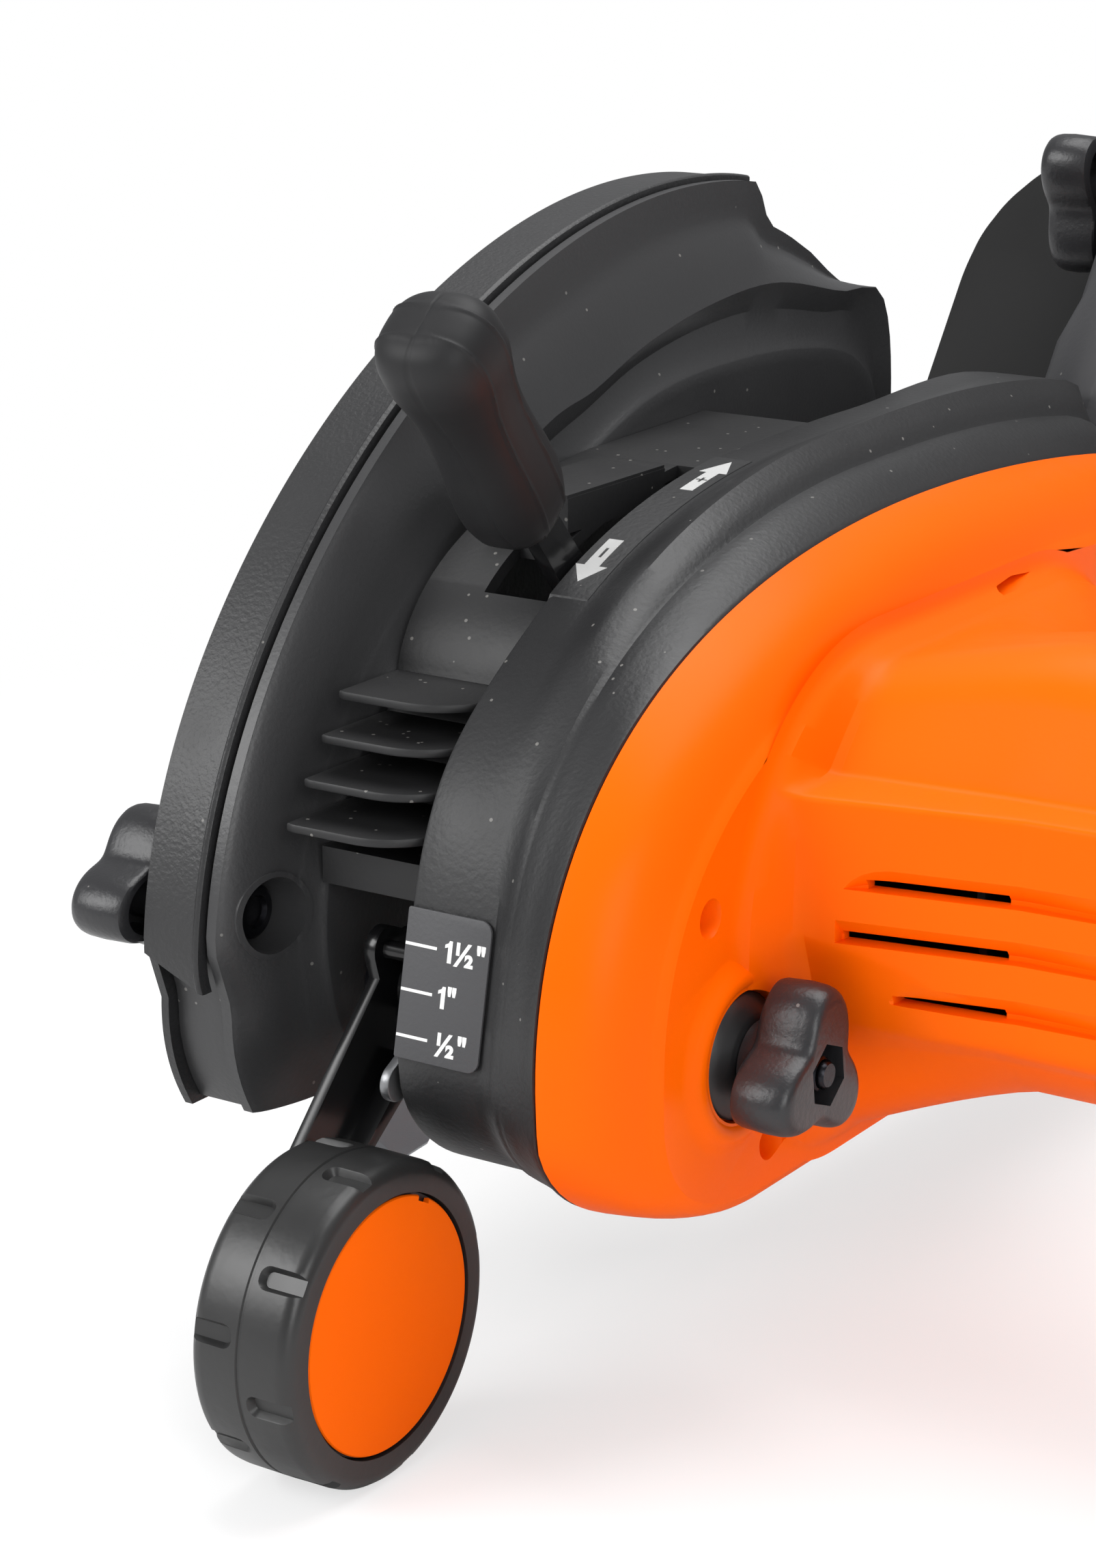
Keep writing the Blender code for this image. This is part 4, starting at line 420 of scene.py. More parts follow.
crown = skin("crown", [
    (-0.0010, inset(shoulder(1.0), 0.0008)), (-0.0006, inset(shoulder(1.0), 0.0003)), (0.0002, shoulder(1.0)),
    (0.0100, shoulder(1.0)), (0.0120, shoulder(0.92)), (0.0140, shoulder(0.74)), (0.0160, shoulder(0.51)),
    (0.0180, shoulder(0.28)), (0.0200, shoulder(0.10)), (0.0222, crest_line), (0.0262, blend(0.19)),
    (0.0287, blend(0.36)), (0.0295, blend(0.42, 0.0005)), (0.0303, blend(0.47, 0.0007)),
    (0.0316, blend(0.51, 0.0003)), (0.0345, blend(0.56)), (0.0395, blend(0.76)), (0.0430, blend(0.96)),
    (0.0437, blend(1.0, 0.0002)), (SEAM_X, blend(1.0, 0.0007)), (SEAM_X, blend(1.0, WALL)),
    (0.0300, blend(0.45, WALL + 0.001)), (0.0225, inset(crest_line, WALL)),
    (0.0018, inset(shoulder(1.0), WALL + 0.001))])
combine(crown, "UNION", rod("spindle_boss", BOSS_LEFT, 0.0, 0.0165, SPINDLE),
        rod("guard_flange", BOSS_LEFT, BOSS_LEFT + 0.004, 0.030, SPINDLE),
        rod("pivot_boss", 0.0, 0.038, 0.009, ARM_PIVOT))
combine(crown, "DIFFERENCE", rod("spindle_bore", -0.05, 0.010, 0.0113, SPINDLE),
        rod("pivot_hole", -0.05, 0.08, BORE_R, ARM_PIVOT))
fit(crown, grained_nylon, "frame", "gear_housing")


# Depth strip and its arrows.
# A thin black insert let into the crown, with arrows hot stamped in pale grey foil: forwards for a
# shallower cut and backwards for a deeper one. The front arrow leaves a minus open, the rear a plus.

# Thin bright foil that catches the lamps.
foil = finish("hot_stamped_grey_foil", "#bdbdbc", 0.5, grain_mm=0.9, relief=0.25, mottle=0.06)
top_curve = curve((0.031, 0.127), (0.042, 0.180), (0.105, 0.2135), (0.190, 0.2135), 200)
strip_path = [a + Vector((b.y - a.y, a.x - b.x)).normalized() * SHOULDER_DEPTH
              for a, b in zip(top_curve, top_curve[1:])]


def settle(piece, matrix):
    """Moves a piece to its place and leaves its object at the origin."""
    bpy.ops.object.select_all(action="DESELECT")
    piece.matrix_world = matrix
    piece.select_set(True)
    bpy.context.view_layer.objects.active = piece
    bpy.ops.object.transform_apply(location=True, rotation=True, scale=True)
    return piece


STRIP_TOP = 0.00425
strip = slab("depth_strip", -0.0009, 0.0098, crown_band(STRIP_TOP, 0.0055, 0.0862, 0.1655))
fit(break_edges(strip, 0.00012, 1, 50), grained_nylon, "frame")


def stamp(name, middle, outline, opened):
    """A foil arrow: the part of a thin band on the strip that lies inside an upright outline."""
    walked = 0.0
    for here, following in zip(strip_path, strip_path[1:]):
        walked += (following - here).length
        if walked > middle:
            break
    way = (following - here).normalized()
    upright = Matrix(((0, 1, 0, 0), (-way.y, 0, way.x, here.x), (way.x, 0, way.y, here.y), (0, 0, 0, 1)))
    arrow = slab(name, -0.0008, 0.0097, crown_band(STRIP_TOP - 0.00007, 0.0047, 0.080, 0.222))
    punch = settle(slab("arrow_punch", -0.004, 0.004, outline), upright)
    holes = [settle(slab("sign_punch", -0.005, 0.005, hole), upright) for hole in opened]
    combine(arrow, "INTERSECT", punch)
    combine(arrow, "DIFFERENCE", *holes)
    return fit(arrow, foil, "frame")


def corners(*points):
    """Corners given in millimetres."""
    return [Vector((a / 1000, b / 1000)) for a, b in points]


rearward = corners((3.6, -9.0), (8.0, -2.4), (5.7, -2.4), (5.7, 9.4), (1.6, 9.4), (1.6, -2.4), (-0.8, -2.4))
minus = corners((3.25, 1.2), (4.05, 1.2), (4.05, 5.4), (3.25, 5.4))
stamp("arrow_deeper", 0.0990, rearward, [minus])
forward = corners((5.6, 10.8), (1.7, 1.6), (3.8, 1.6), (3.8, -11.2), (7.4, -11.2), (7.4, 1.6), (9.5, 1.6))
plus = [corners((4.0, -4.2), (7.2, -4.2), (7.2, -3.5), (4.0, -3.5)),
        corners((5.25, -5.4), (5.95, -5.4), (5.95, -2.3), (5.25, -2.3))]
stamp("arrow_shallower", 0.1490, forward, plus)


# Depth scale.
# A die cut label plate on the straight front of the crown, dark grey, with white printed half inch
# marks. Print stands up a few hundredths of a millimetre, so its edges stay crisp.

# A flat grey film with hardly any gloss.
label_grey = finish("matt_grey_label", "#464648", 0.55, grain_mm=0.5, relief=0.30, mottle=0.05)
# Matt white ink that looks even from every side.
print_white = finish("white_label_print", "#f2f2f0", 0.6, grain_mm=0.6, relief=0.10, mottle=0.02)
foot = Vector((0.0, 0.024, 0.092))
rise = (Vector((0.0, 0.031, 0.127)) - foot).normalized()
outward = Vector((1, 0, 0)).cross(rise)
on_label = Matrix(((1, rise.x, outward.x, foot.x), (0, rise.y, outward.y, foot.y),
                   (0, rise.z, outward.z, foot.z), (0, 0, 0, 1)))
stood_up = on_label @ Matrix(((0, 1, 0, 0), (0, 0, 1, 0), (1, 0, 0, 0), (0, 0, 0, 1)))
label = slab("scale_label", 0.0003, 0.0011,
             rounded([(-0.0010, 0.0004, 0.0006), (0.0220, 0.0004, 0.0030), (0.0220, 0.0353, 0.0030),
                      (-0.0010, 0.0353, 0.0006)], 10))
settle(label, stood_up)
fit(break_edges(label, 0.0002), label_grey, "frame", "scale_plate")
PRINT_LOW, PRINT_HIGH = 0.00105, 0.00115
FIGURE_DROP = 0.0027


def printed(name, outline):
    """A white mark, as thick as its ink."""
    mark = settle(slab(name, PRINT_LOW, PRINT_HIGH, outline), stood_up)
    fit(mark, print_white, "frame")


for number, (words, height, left, ones) in enumerate((("½\"", 0.0269, 0.0124, 0.0100),
                                                      ("\"", 0.0163, 0.0118, 0.0094),
                                                      ("½\"", 0.0057, 0.0098, None))):
    level = height * 1000
    printed(f"scale_tick_{number}", corners((-0.8, level - 0.35), (7.8, level - 0.35), (7.8, level + 0.35),
                                            (-0.8, level + 0.35)))
    if ones:
        numeral = corners((0.85, 0.0), (1.95, 0.0), (1.95, 5.1), (1.15, 5.1), (0.85, 4.5), (0.0, 4.1),
                          (0.0, 3.3), (0.85, 3.6))
        printed(f"scale_one_{number}", [Vector((ones, height - FIGURE_DROP)) + point for point in numeral])
    bpy.ops.object.select_all(action="DESELECT")
    bpy.ops.object.text_add()
    figure = bpy.context.object
    figure.name = f"scale_figure_{number}"
    figure.data.body = words
    figure.data.size = 0.0072
    figure.data.extrude = 0.00005
    figure.data.offset = 0.00022
    bpy.ops.object.convert(target="MESH")
    figure = bpy.context.object
    bpy.ops.object.mode_set(mode="EDIT")
    bpy.ops.mesh.select_all(action="SELECT")
    bpy.ops.mesh.remove_doubles(threshold=1e-7)
    bpy.ops.mesh.normals_make_consistent(inside=False)
    bpy.ops.object.mode_set(mode="OBJECT")
    settle(figure, on_label @ Matrix.Translation((left, height - FIGURE_DROP, 0.0011)))
    fit(figure, print_white, "frame")


# Gears, bearings and motor.
# Ground steel shafts in ball bearings, held by an aluminium plate. A nylon fan sits beside the
# wound armature. They fill the dark behind the louvres, and are smaller than the cover's inside.
def turned(name, profile, centre=(0.0, 0.0), steps=72, start=0.0):
    """Spins a closed profile of (x, radius) points round an axis along X, with x counted from start."""
    bpy.ops.object.select_all(action="DESELECT")
    bpy.ops.mesh.primitive_circle_add(vertices=len(profile), radius=0.1)
    piece = bpy.context.object
    piece.name = piece.data.name = name
    bpy.ops.object.mode_set(mode="EDIT")
    bpy.ops.mesh.select_all(action="SELECT")
    edit = bmesh.from_edit_mesh(piece.data)
    edit.verts.ensure_lookup_table()
    for vert, (x, radius) in zip(edit.verts, profile):
        vert.co = (x, radius, 0.0)
    bmesh.update_edit_mesh(piece.data)
    bpy.ops.mesh.spin(steps=steps, angle=tau, center=(0, 0, 0), axis=(1, 0, 0))
    bpy.ops.mesh.select_all(action="SELECT")
    bpy.ops.mesh.remove_doubles(threshold=1e-6)
    bpy.ops.mesh.delete_loose()
    bpy.ops.mesh.select_all(action="SELECT")
    bpy.ops.mesh.normals_make_consistent(inside=False)
    bpy.ops.object.mode_set(mode="OBJECT")
    return settle(piece, Matrix.Translation((start, *centre)))


def dress(node, surface, body, edge=0.0003, smooth=30):
    """A merged copy of a CAD node with its edges broken, which stands for it."""
    bpy.ops.object.select_all(action="DESELECT")
    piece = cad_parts[node].copy()
    piece.data = piece.data.copy()
    piece.name = piece.data.name = node + "_finished"
    piece.parent = None
    bpy.context.scene.collection.objects.link(piece)
    piece.hide_render = False
    piece.select_set(True)
    bpy.context.view_layer.objects.active = piece
    bpy.ops.object.mode_set(mode="EDIT")
    bpy.ops.mesh.select_all(action="SELECT")
    bpy.ops.mesh.remove_doubles(threshold=1e-6)
    bpy.ops.mesh.dissolve_limited(angle_limit=radians(0.5))
    bpy.ops.object.mode_set(mode="OBJECT")
    if edge:
        break_edges(piece, edge, 2, smooth)
    return fit(piece, surface, body, node, smooth)


MOTOR = (HEAD_AXIS.x, HEAD_AXIS.y)
SHAFT_BORE_R = 0.0053
SPINDLE_BORE_R = 0.0063
# Grinding leaves fine lines round a shaft, so the grain is 12 times shorter along it.
ground_steel = finish("ground_bearing_steel", "#9c9fa3", 0.28, grain_mm=0.4, relief=0.25, metallic=1.0,
                      drawn=(12, 1, 1))
# The grainy grey skin of a casting.
cast_aluminium = finish("die_cast_aluminium", "#9fa1a4", 0.48, grain_mm=0.8, relief=0.30, metallic=1.0)
# The edges of the sheets show as lines round the stack, and the wires as lines along the armature.
stacked_iron = finish("varnished_laminations", "#4a4b4e", 0.50, grain_mm=0.5, relief=0.5, metallic=0.9,
                      drawn=(14, 1, 1))
copper = finish("varnished_copper_windings", "#8a4a25", 0.35, grain_mm=0.5, relief=0.6, metallic=0.9,
                drawn=(1, 9, 9))
# Dull board with a fibrous surface.
paper_board = finish("brown_phenolic_board", "#4f2c17", 0.55, grain_mm=0.6, relief=0.10)
# Even black with a satin sheen and a fine grain.
satin_nylon = finish("satin_black_nylon", "#1f1f20", 0.42, grain_mm=1.0, relief=0.12, dust=0.03)

for node, surface, body in (("gear_plate", cast_aluminium, "frame"),
                            ("motor_shaft", ground_steel, "armature"),
                            ("spindle_gear", ground_steel, "spindle"), ("brush_plate", paper_board, "frame")):
    dress(node, surface, body, 0.0)
# The plate's lower front corner follows the rounding of the shells that hide it.
corner_off = corners((0, 40), (62, 40), (62, 57.5), (41, 62), (29, 71.5), (20, 86), (0, 86))
combine(bpy.data.objects["gear_plate_finished"], "DIFFERENCE", slab("plate_clip", 0.02, 0.06, corner_off))
for node, left, axis, bore in (("motor_bearing_left", 0.0337, MOTOR, SHAFT_BORE_R),
                               ("motor_bearing_right", 0.1915, MOTOR, SHAFT_BORE_R),
                               ("spindle_bearing_right", 0.0337, SPINDLE, SPINDLE_BORE_R),
                               ("spindle_bearing_left", -0.0322, SPINDLE, SPINDLE_BORE_R)):
    race = [(0.0, bore), (0.0, bore + 0.0012), (0.0008, bore + 0.0014), (0.0008, 0.0092), (0.0, 0.0094),
            (0.0, 0.0106), (0.0004, 0.0110), (0.0066, 0.0110), (0.0070, 0.0106), (0.0070, bore)]
    fit(turned(node + "_turned", race, axis, start=left), ground_steel, "frame", node)
fit(turned("stator_stack", [(0.1240, 0.0395), (0.1700, 0.0395), (0.1700, 0.0312), (0.1240, 0.0312)], MOTOR),
    stacked_iron, "frame", "stator")
fit(turned("wound_armature", [(0.122, SHAFT_BORE_R), (0.122, 0.018), (0.124, 0.0225), (0.1272, 0.0245),
                              (0.128, 0.0300), (0.166, 0.0300), (0.1668, 0.0245), (0.170, 0.0225),
                              (0.172, 0.018), (0.172, 0.013), (0.184, 0.013), (0.184, SHAFT_BORE_R)], MOTOR),
    copper, "armature", "armature")
rotor = turned("fan_rotor", [(0.1015, SHAFT_BORE_R), (0.1015, 0.0120), (0.1100, 0.0120), (0.1100, 0.0395),
                             (0.1120, 0.0395), (0.1120, SHAFT_BORE_R)], MOTOR)
VANES = 9
for number in range(VANES):
    turn = tau * number / VANES
    root = toward(turn) * 0.014
    tip = toward(turn + 0.5) * 0.0385
    side = (tip - root).orthogonal().normalized() * 0.0008
    vane = slab("fan_vane", 0.1020, 0.1110, [root - side, tip - side, tip + side, root + side])
    combine(rotor, "UNION", settle(vane, Matrix.Translation((0.0, *MOTOR))))
fit(rotor, satin_nylon, "armature", "cooling_fan")
fit(turned("spindle_turned", [(-0.0648, 0.0), (-0.0648, 0.0050), (-0.0640, 0.0060), (0.0400, 0.0060),
                              (0.0405, 0.0055), (0.0405, 0.0)], SPINDLE),
    ground_steel, "spindle", "spindle_shaft")


# Motor cover.
# One orange ABS moulding: a crowned rim, a flat face and the motor housing that flares out of it,
# with a square block on its front that carries three louvres, and screws in deep pockets.

# Strong orange that shows no white glare.
orange_abs = finish("moulded_orange_abs", "#ff6600", 0.40, grain_mm=0.6, relief=0.08, mottle=0.02,
                    specular=0.08)
FACE_X = 0.0660
MOTOR_TUBE_R = 0.054
BASE_POINTS = 130


def between(x, table):
    """A value read from a table of (x, value) rows."""
    for (near, low), (far, high) in zip(table, table[1:]):
        if x <= far:
            return low + (high - low) * max(0.0, (x - near) / (far - near))
    return table[-1][1]


root_whole = rounded([(0.077, 0.176, 0.032), (0.262, 0.176, 0.056), (0.262, 0.064, 0.048),
                      (0.100, 0.064, 0.024), (0.085, 0.100, 0.030), (0.077, 0.125, 0.020)], 20)


def spot(turn, reach):
    """A point that far from the motor's axis."""
    return HEAD_AXIS + toward(turn) * reach


def housing_reach(x, turn):
    """How far the plain flare of the motor housing stands out from the motor's axis."""
    along = min(1.0, max(0.0, (x - 0.075) / 0.042))
    root = (read_at(root_whole, HEAD_AXIS, [turn])[0] - HEAD_AXIS).length
    return root + (MOTOR_TUBE_R - root) * (1 - (1 - along) ** 1.22)


def front_of(x):
    """Where the front block's flat face lies."""
    return between(x, [(0.074, 0.0770), (0.124, 0.0868), (0.165, 0.0885), (0.190, 0.0890)])


def housing_side(x):
    """The motor housing with its front block: a ledge on top, a flat front, a scoop for the knob."""
    whole = between(x, [(0.166, 0.0), (0.184, 1.0)])
    front = front_of(x)
    top_turn = radians(92)
    low_turn = radians(222)
    top = spot(top_turn, housing_reach(x, top_turn))
    low = spot(low_turn, housing_reach(x, low_turn))
    crest = Vector((between(x, [(0.075, 0.112), (0.117, 0.1155)]), top.y + 0.0004))
    lead = between(x, [(0.075, 0.0925), (0.117, 0.0965), (0.190, 0.0985)])
    knees = [(crest, 0.0220), (Vector((lead, 0.1548)), 0.0030), (Vector((front, 0.1532)), 0.0016),
             (Vector((front, between(x, [(0.075, 0.1200), (0.098, 0.1150), (0.117, 0.1060)]))), 0.0060),
             (Vector((between(x, [(0.075, 0.0850), (0.098, 0.0850), (0.117, 0.0872)]), 0.0985)), 0.0060)]
    path = [(*top, 0)]
    for knee, radius in knees:
        outward = knee - HEAD_AXIS
        knee = knee.lerp(HEAD_AXIS + outward.normalized() * MOTOR_TUBE_R, whole)
        path.append((*knee, radius * (1 - whole * 0.9)))
    bent = rounded(path + [(*low, 0)], 5)
    runs = {0: 6, 6: 16, 12: 6, 18: 20, 24: 10, 30: 6}
    front_points = []
    for index, (here, following) in enumerate(zip(bent, bent[1:])):
        count = runs.get(index, 1)
        front_points += [here.lerp(following, step / count) for step in range(count)]
    front_points.append(bent[-1])
    sweep = (top_turn - low_turn) % tau
    turns = [low_turn + sweep * step / BASE_POINTS for step in range(1, BASE_POINTS)]
    return front_points + [spot(turn, housing_reach(x, turn)) for turn in turns]


root_side = housing_side(0.075)
cover_turns = [atan2(p.y - HEAD_AXIS.y, p.x - HEAD_AXIS.x) for p in root_side]
cover_seam = read_at(seam_whole, HEAD_AXIS, cover_turns)
face_whole = curve((0.029, 0.098), (0.029, 0.150), (0.078, 0.1835), (0.190, 0.1835), 60)
face_whole += curve((0.190, 0.1835), (0.240, 0.1835), (0.290, 0.178), (0.325, 0.171), 16)
face_whole += curve((0.325, 0.171), (0.352, 0.165), (0.371, 0.156), (0.371, 0.131), 16)
face_whole += curve((0.371, 0.131), (0.371, 0.085), (0.325, 0.0535), (0.250, 0.0535), 20)
face_whole += curve((0.075, 0.0545), (0.042, 0.056), (0.030, 0.070), (0.029, 0.088), 20)
cover_face = read_at(face_whole, HEAD_AXIS, cover_turns)
flange = read_at(rounded([(0.064, 0.179, 0.060), (0.266, 0.178, 0.060), (0.266, 0.060, 0.050),
                          (0.064, 0.060, 0.046)], 20), HEAD_AXIS, cover_turns)


def shrunk(outline, share):
    """The outline made smaller round the motor's axis."""
    return [HEAD_AXIS + (point - HEAD_AXIS) * share for point in outline]


rim = [(0.0443, inset(cover_seam, 0.0006)), (0.0446, inset(cover_seam, 0.0001))]
rim += [(x, mix(cover_seam, cover_face, share)) for x, share in
        ((0.0470, 0.045), (0.0500, 0.115), (0.0530, 0.195), (0.0560, 0.305), (0.0585, 0.445), (0.0605, 0.600),
         (0.0620, 0.755), (0.0631, 0.900), (0.0638, 0.985))]
rim += [(0.0643, inset(cover_face, 0.0005)), (0.0652, inset(cover_face, 0.0014)),
        (FACE_X, inset(cover_face, 0.0028))]
flare = [(FACE_X, inset(flange, -0.0050)), (0.0664, inset(flange, -0.0026)), (0.0672, inset(flange, -0.0010)),
         (0.0685, inset(flange, 0.0))]
flare += [(x, mix(flange, root_side, share)) for x, share in ((0.0700, 0.30), (0.0715, 0.62), (0.0730, 0.88))]
housing = [(x, housing_side(x)) for x in (0.0750, 0.0790, 0.0840, 0.0890, 0.0940, 0.0980, 0.1040, 0.1110,
                                          0.1170, 0.1239, 0.1243, 0.1340, 0.1500, 0.1660, 0.1690, 0.1720,
                                          0.1750, 0.1780, 0.1810, 0.1840)]
housing += [(0.1896, housing_side(0.190)), (0.1900, shrunk(housing_side(0.190), 0.993))]
hollow = [(x, shrunk(housing_side(read_from), 0.90)) for x, read_from in
          ((0.1900, 0.1900), (0.1740, 0.1780), (0.1660, 0.1660), (0.1243, 0.1243), (0.0980, 0.0980))]
hollow += [(0.0740, shrunk(root_side, 0.90)), (FACE_X - WALL, inset(mix(cover_face, root_side, 0.7), WALL)),
           (FACE_X - WALL, inset(cover_face, 0.0060)),
           (0.0560, inset(mix(cover_seam, cover_face, 0.45), WALL)), (0.0443, inset(cover_seam, WALL))]
cover = skin("motor_cover_moulding", rim + flare + housing + hollow, closed=True)
COVER_SCREWS = ((0.0510, 0.1300), (0.0790, 0.0680), (0.3300, 0.1500))
seat = [(-0.0030, 0.0), (-0.0030, 0.0238), (0.0, 0.0238), (0.0006, 0.0222), (0.0016, 0.0208),
        (0.0026, 0.0198), (0.0031, 0.0186), (0.0030, 0.0172), (0.0024, 0.0162), (0.0022, 0.0)]
combine(cover, "UNION", turned("knob_seat", seat, ARM_PIVOT, 96, FACE_X),
        *[rod("screw_post", 0.0454, FACE_X - 0.0006, 0.0062, place) for place in COVER_SCREWS])
pocket = [(-0.0090, 0.0), (-0.0090, 0.0036), (-0.0010, 0.0041), (0.0006, 0.0050), (0.01, 0.0050), (0.01, 0.0)]
combine(cover, "DIFFERENCE", rod("washer_seat", FACE_X - 0.0008, FACE_X + 0.02, 0.0155, ARM_PIVOT, 96),
        rod("bolt_hole", FACE_X - 0.02, FACE_X + 0.02, BORE_R, ARM_PIVOT),
        *[turned("screw_pocket", pocket, place, 40, FACE_X) for place in COVER_SCREWS])
teardrop = rounded([(0.1830, 0.1752, 0.0012), (0.1925, 0.1772, 0.0100), (0.2055, 0.1795, 0.0003),
                    (0.1935, 0.1806, 0.0100), (0.1835, 0.1796, 0.0020)], 8)
combine(cover, "DIFFERENCE", skin("teardrop_pocket", [(0.0622, inset(teardrop, 0.0008)), (0.0700, teardrop)]))


def louvre(start, bottom, drop, square):
    """A cutter for one louvre: a wall that leans in under the block's face, down to its slot."""
    stations = []
    lead = [(0.0, 1.0)] if square else [(0.0, 0.04), (0.0018, 0.42), (0.0040, 0.70), (0.0070, 0.90),
                                        (0.0105, 1.0)]
    for step, share in lead + [(0.1240 - start, 1.0), (0.1500 - start, 1.0), (0.1640 - start, 1.0),
                               (0.1760 - start, 0.30)]:
        x = start + step
        front = front_of(x)
        deep = 0.0034 * share if step < 0.045 else 0.0022 * share
        stations.append((x, [Vector((front - 0.010, bottom)), Vector((front + deep, bottom)),
                             Vector((front + deep, bottom + 0.0012 * share)),
                             Vector((front - 0.0001, bottom + drop * share)),
                             Vector((front - 0.010, bottom + drop * share + 0.0002))]))
    return skin("louvre_cutter", stations)


for start, bottom, square in ((0.0840, 0.1326, False), (0.0822, 0.1196, True), (0.0905, 0.1058, False)):
    combine(cover, "DIFFERENCE", louvre(start, bottom, 0.0056, square),
            brick("louvre_slot", (start + (0.0006 if square else 0.0045), 0.070, bottom),
                  (0.1205, 0.106, bottom + 0.0024)))
fit(cover, orange_abs, "frame", "motor_cover", smooth=28)


# Motor end cap.
# The domed orange end of the housing, pressed into the tube, with ten air inlet slots round the
# seat of the rear bearing.
CAP_LEFT = 0.1903
CAP_SLOTS = 10
profile = [(-0.0065, 0.0460), (-0.0065, 0.0484), (0.0, 0.0484), (0.0, MOTOR_TUBE_R - 0.0005),
           (0.0005, MOTOR_TUBE_R), (0.0030, MOTOR_TUBE_R - 0.0001), (0.0060, MOTOR_TUBE_R - 0.0010),
           (0.0090, MOTOR_TUBE_R - 0.0034), (0.0115, MOTOR_TUBE_R - 0.0066), (0.0138, 0.0410),
           (0.0160, 0.0320), (0.0176, 0.0215), (0.0180, 0.0150), (0.0180, 0.0), (0.0110, 0.0),
           (0.0110, 0.0113), (0.0, 0.0113), (0.0, 0.0140), (0.0140, 0.0140), (0.0085, 0.0440), (0.0, 0.0460)]
end_cap = turned("motor_end_dome", profile, MOTOR, 120, CAP_LEFT)
for number in range(CAP_SLOTS):
    way = toward(tau * (number + 0.5) / CAP_SLOTS)
    side = Vector((-way.y, way.x))
    slot = rounded([(*(way * a + side * b), 0.0015) for a, b in
                    ((0.019, -0.0019), (0.039, -0.0019), (0.039, 0.0019), (0.019, 0.0019))], 5)
    cutter = settle(slab("inlet_slot", CAP_LEFT + 0.004, CAP_LEFT + 0.03, slot),
                    Matrix.Translation((0.0, *MOTOR)))
    combine(end_cap, "DIFFERENCE", cutter)
fit(end_cap, orange_abs, "frame", "motor_end_cap")


# Neck cover.
# The black bridge from the gear housing to the guard, in the same nylon but polished flatter and
# full of garden dust. Four cooling fins stand out under it, and a slot lets the lever through.

# Black with pale dust settled on it.
dusty_nylon = finish("dusty_black_nylon", "#1b1b1c", 0.50, grain_mm=0.8, relief=0.20, dust=0.16)
NECK_LEFT = -0.0367
NECK_RIGHT = -0.0013
roof = curve((0.076, 0.167), (0.082, 0.190), (0.112, 0.203), (0.160, 0.2065), 40)
roof += corners((160, 206.5), (217, 207.5), (219, 184), (216, 184), (214, 204.5), (160, 203.5))
roof += curve((0.079, 0.165), (0.085, 0.187), (0.114, 0.200), (0.158, 0.2033), 40)[::-1]
roof += corners((60.5, 131), (60.5, 122), (45, 122), (45, 131), (57.5, 131))
neck = slab("neck_bridge", NECK_LEFT, NECK_RIGHT, roof)
flat = Matrix(((0, 0, -1, 0), (0, 1, 0, 0), (1, 0, 0, 0), (0, 0, 0, 1)))
FINS = 4
FIN_TOP, FIN_DROP = 0.167, 0.009
FIN_FRONT, FIN_REACH = 0.052, 0.007
for number in range(FINS):
    z = FIN_TOP - FIN_DROP * number
    front = FIN_FRONT - FIN_REACH * number
    back = 0.0587 + (z - 0.131) * 0.514
    plan = curve((-0.0185, front), (-0.0100, front), (-0.0045, front + 0.0050), (NECK_RIGHT, front + 0.0120),
                 20)
    plan = [Vector((NECK_LEFT, front + 0.0006)), Vector((NECK_LEFT + 0.002, front))] + plan
    plan += [Vector((NECK_RIGHT, front + 0.0120)), Vector((NECK_RIGHT, back)), Vector((NECK_LEFT, back))]
    across = [Vector((p.y, -p.x)) for p in plan]
    fin = settle(skin("fin", [(z - 0.0019, inset(across, 0.00015)), (z - 0.0016, across),
                              (z - 0.0003, across), (z, inset(across, 0.0002))]), flat)
    lug = brick("fin_lug", (-0.0046, front + 0.0098, z - 0.0048), (NECK_RIGHT, back, z - 0.0005))
    combine(neck, "UNION", fin, lug, solver="EXACT")
combine(neck, "DIFFERENCE", brick("lever_slot", (-0.0077, 0.0885, 0.170), (0.0, 0.1560, 0.230)),
        brick("lever_gate", (-0.0200, 0.0885, 0.170), (0.0, 0.1040, 0.230)),
        solver="EXACT")
combine(neck, "UNION", brick("detent_slab", (-0.0300, 0.1060, 0.1980), (-0.0077, 0.1500, 0.2065)),
        brick("detent_rail", (-0.0095, 0.1060, 0.2060), (-0.0079, 0.1500, 0.2073)), solver="EXACT")
break_edges(neck, 0.00025, 2, 40)
fit(neck, dusty_nylon, "frame", "neck_cover", smooth=35)


# Guard.
# A nylon dome over the blade, drawn in at its front to a bowl, and a left plate whose band laps
# over the dome with a bead along its edge. One screw in a deep cup at the front joins them.

# A coarse grain that breaks the light up.
band_nylon = finish("coarse_grained_black_nylon", "#262627", 0.46, grain_mm=0.55, relief=0.55, dust=0.02)
# A black made paler than the band's to paint in the light that the bowl catches, and smoother, so that the
# dome's steps show.
guard_black_painted_light = finish("moulded_guard_black_painted_light", "#363637", 0.40, spread=0.04, grain_mm=0.6, relief=0.25,
                     dust=0.015)
GUARD_SCREW = (0.033, 0.116)
GUARD_ROW = 200
BAND_RIGHT = -0.0520
GUARD_RIGHT = -0.0370
arch = curve((0.017, 0.110), (0.024, 0.190), (0.125, 0.266), (0.230, 0.266), 110)
arch += curve((0.230, 0.266), (0.243, 0.266), (0.255, 0.2650), (0.2655, 0.2630), 14)
rear_drop = corners((265.5, 263.0), (266.5, 259.0), (270.2, 251.0), (280.8, 246.9), (294.2, 240.3),
                    (306.2, 232.7), (320.7, 225.3), (328.0, 219.0), (335.0, 190.0), (335.0, 100.0),
                    (280.0, 30.0), (80.0, 25.0))
chin = curve((0.052, 0.040), (0.028, 0.062), (0.021, 0.078), (0.023, 0.096), 24)
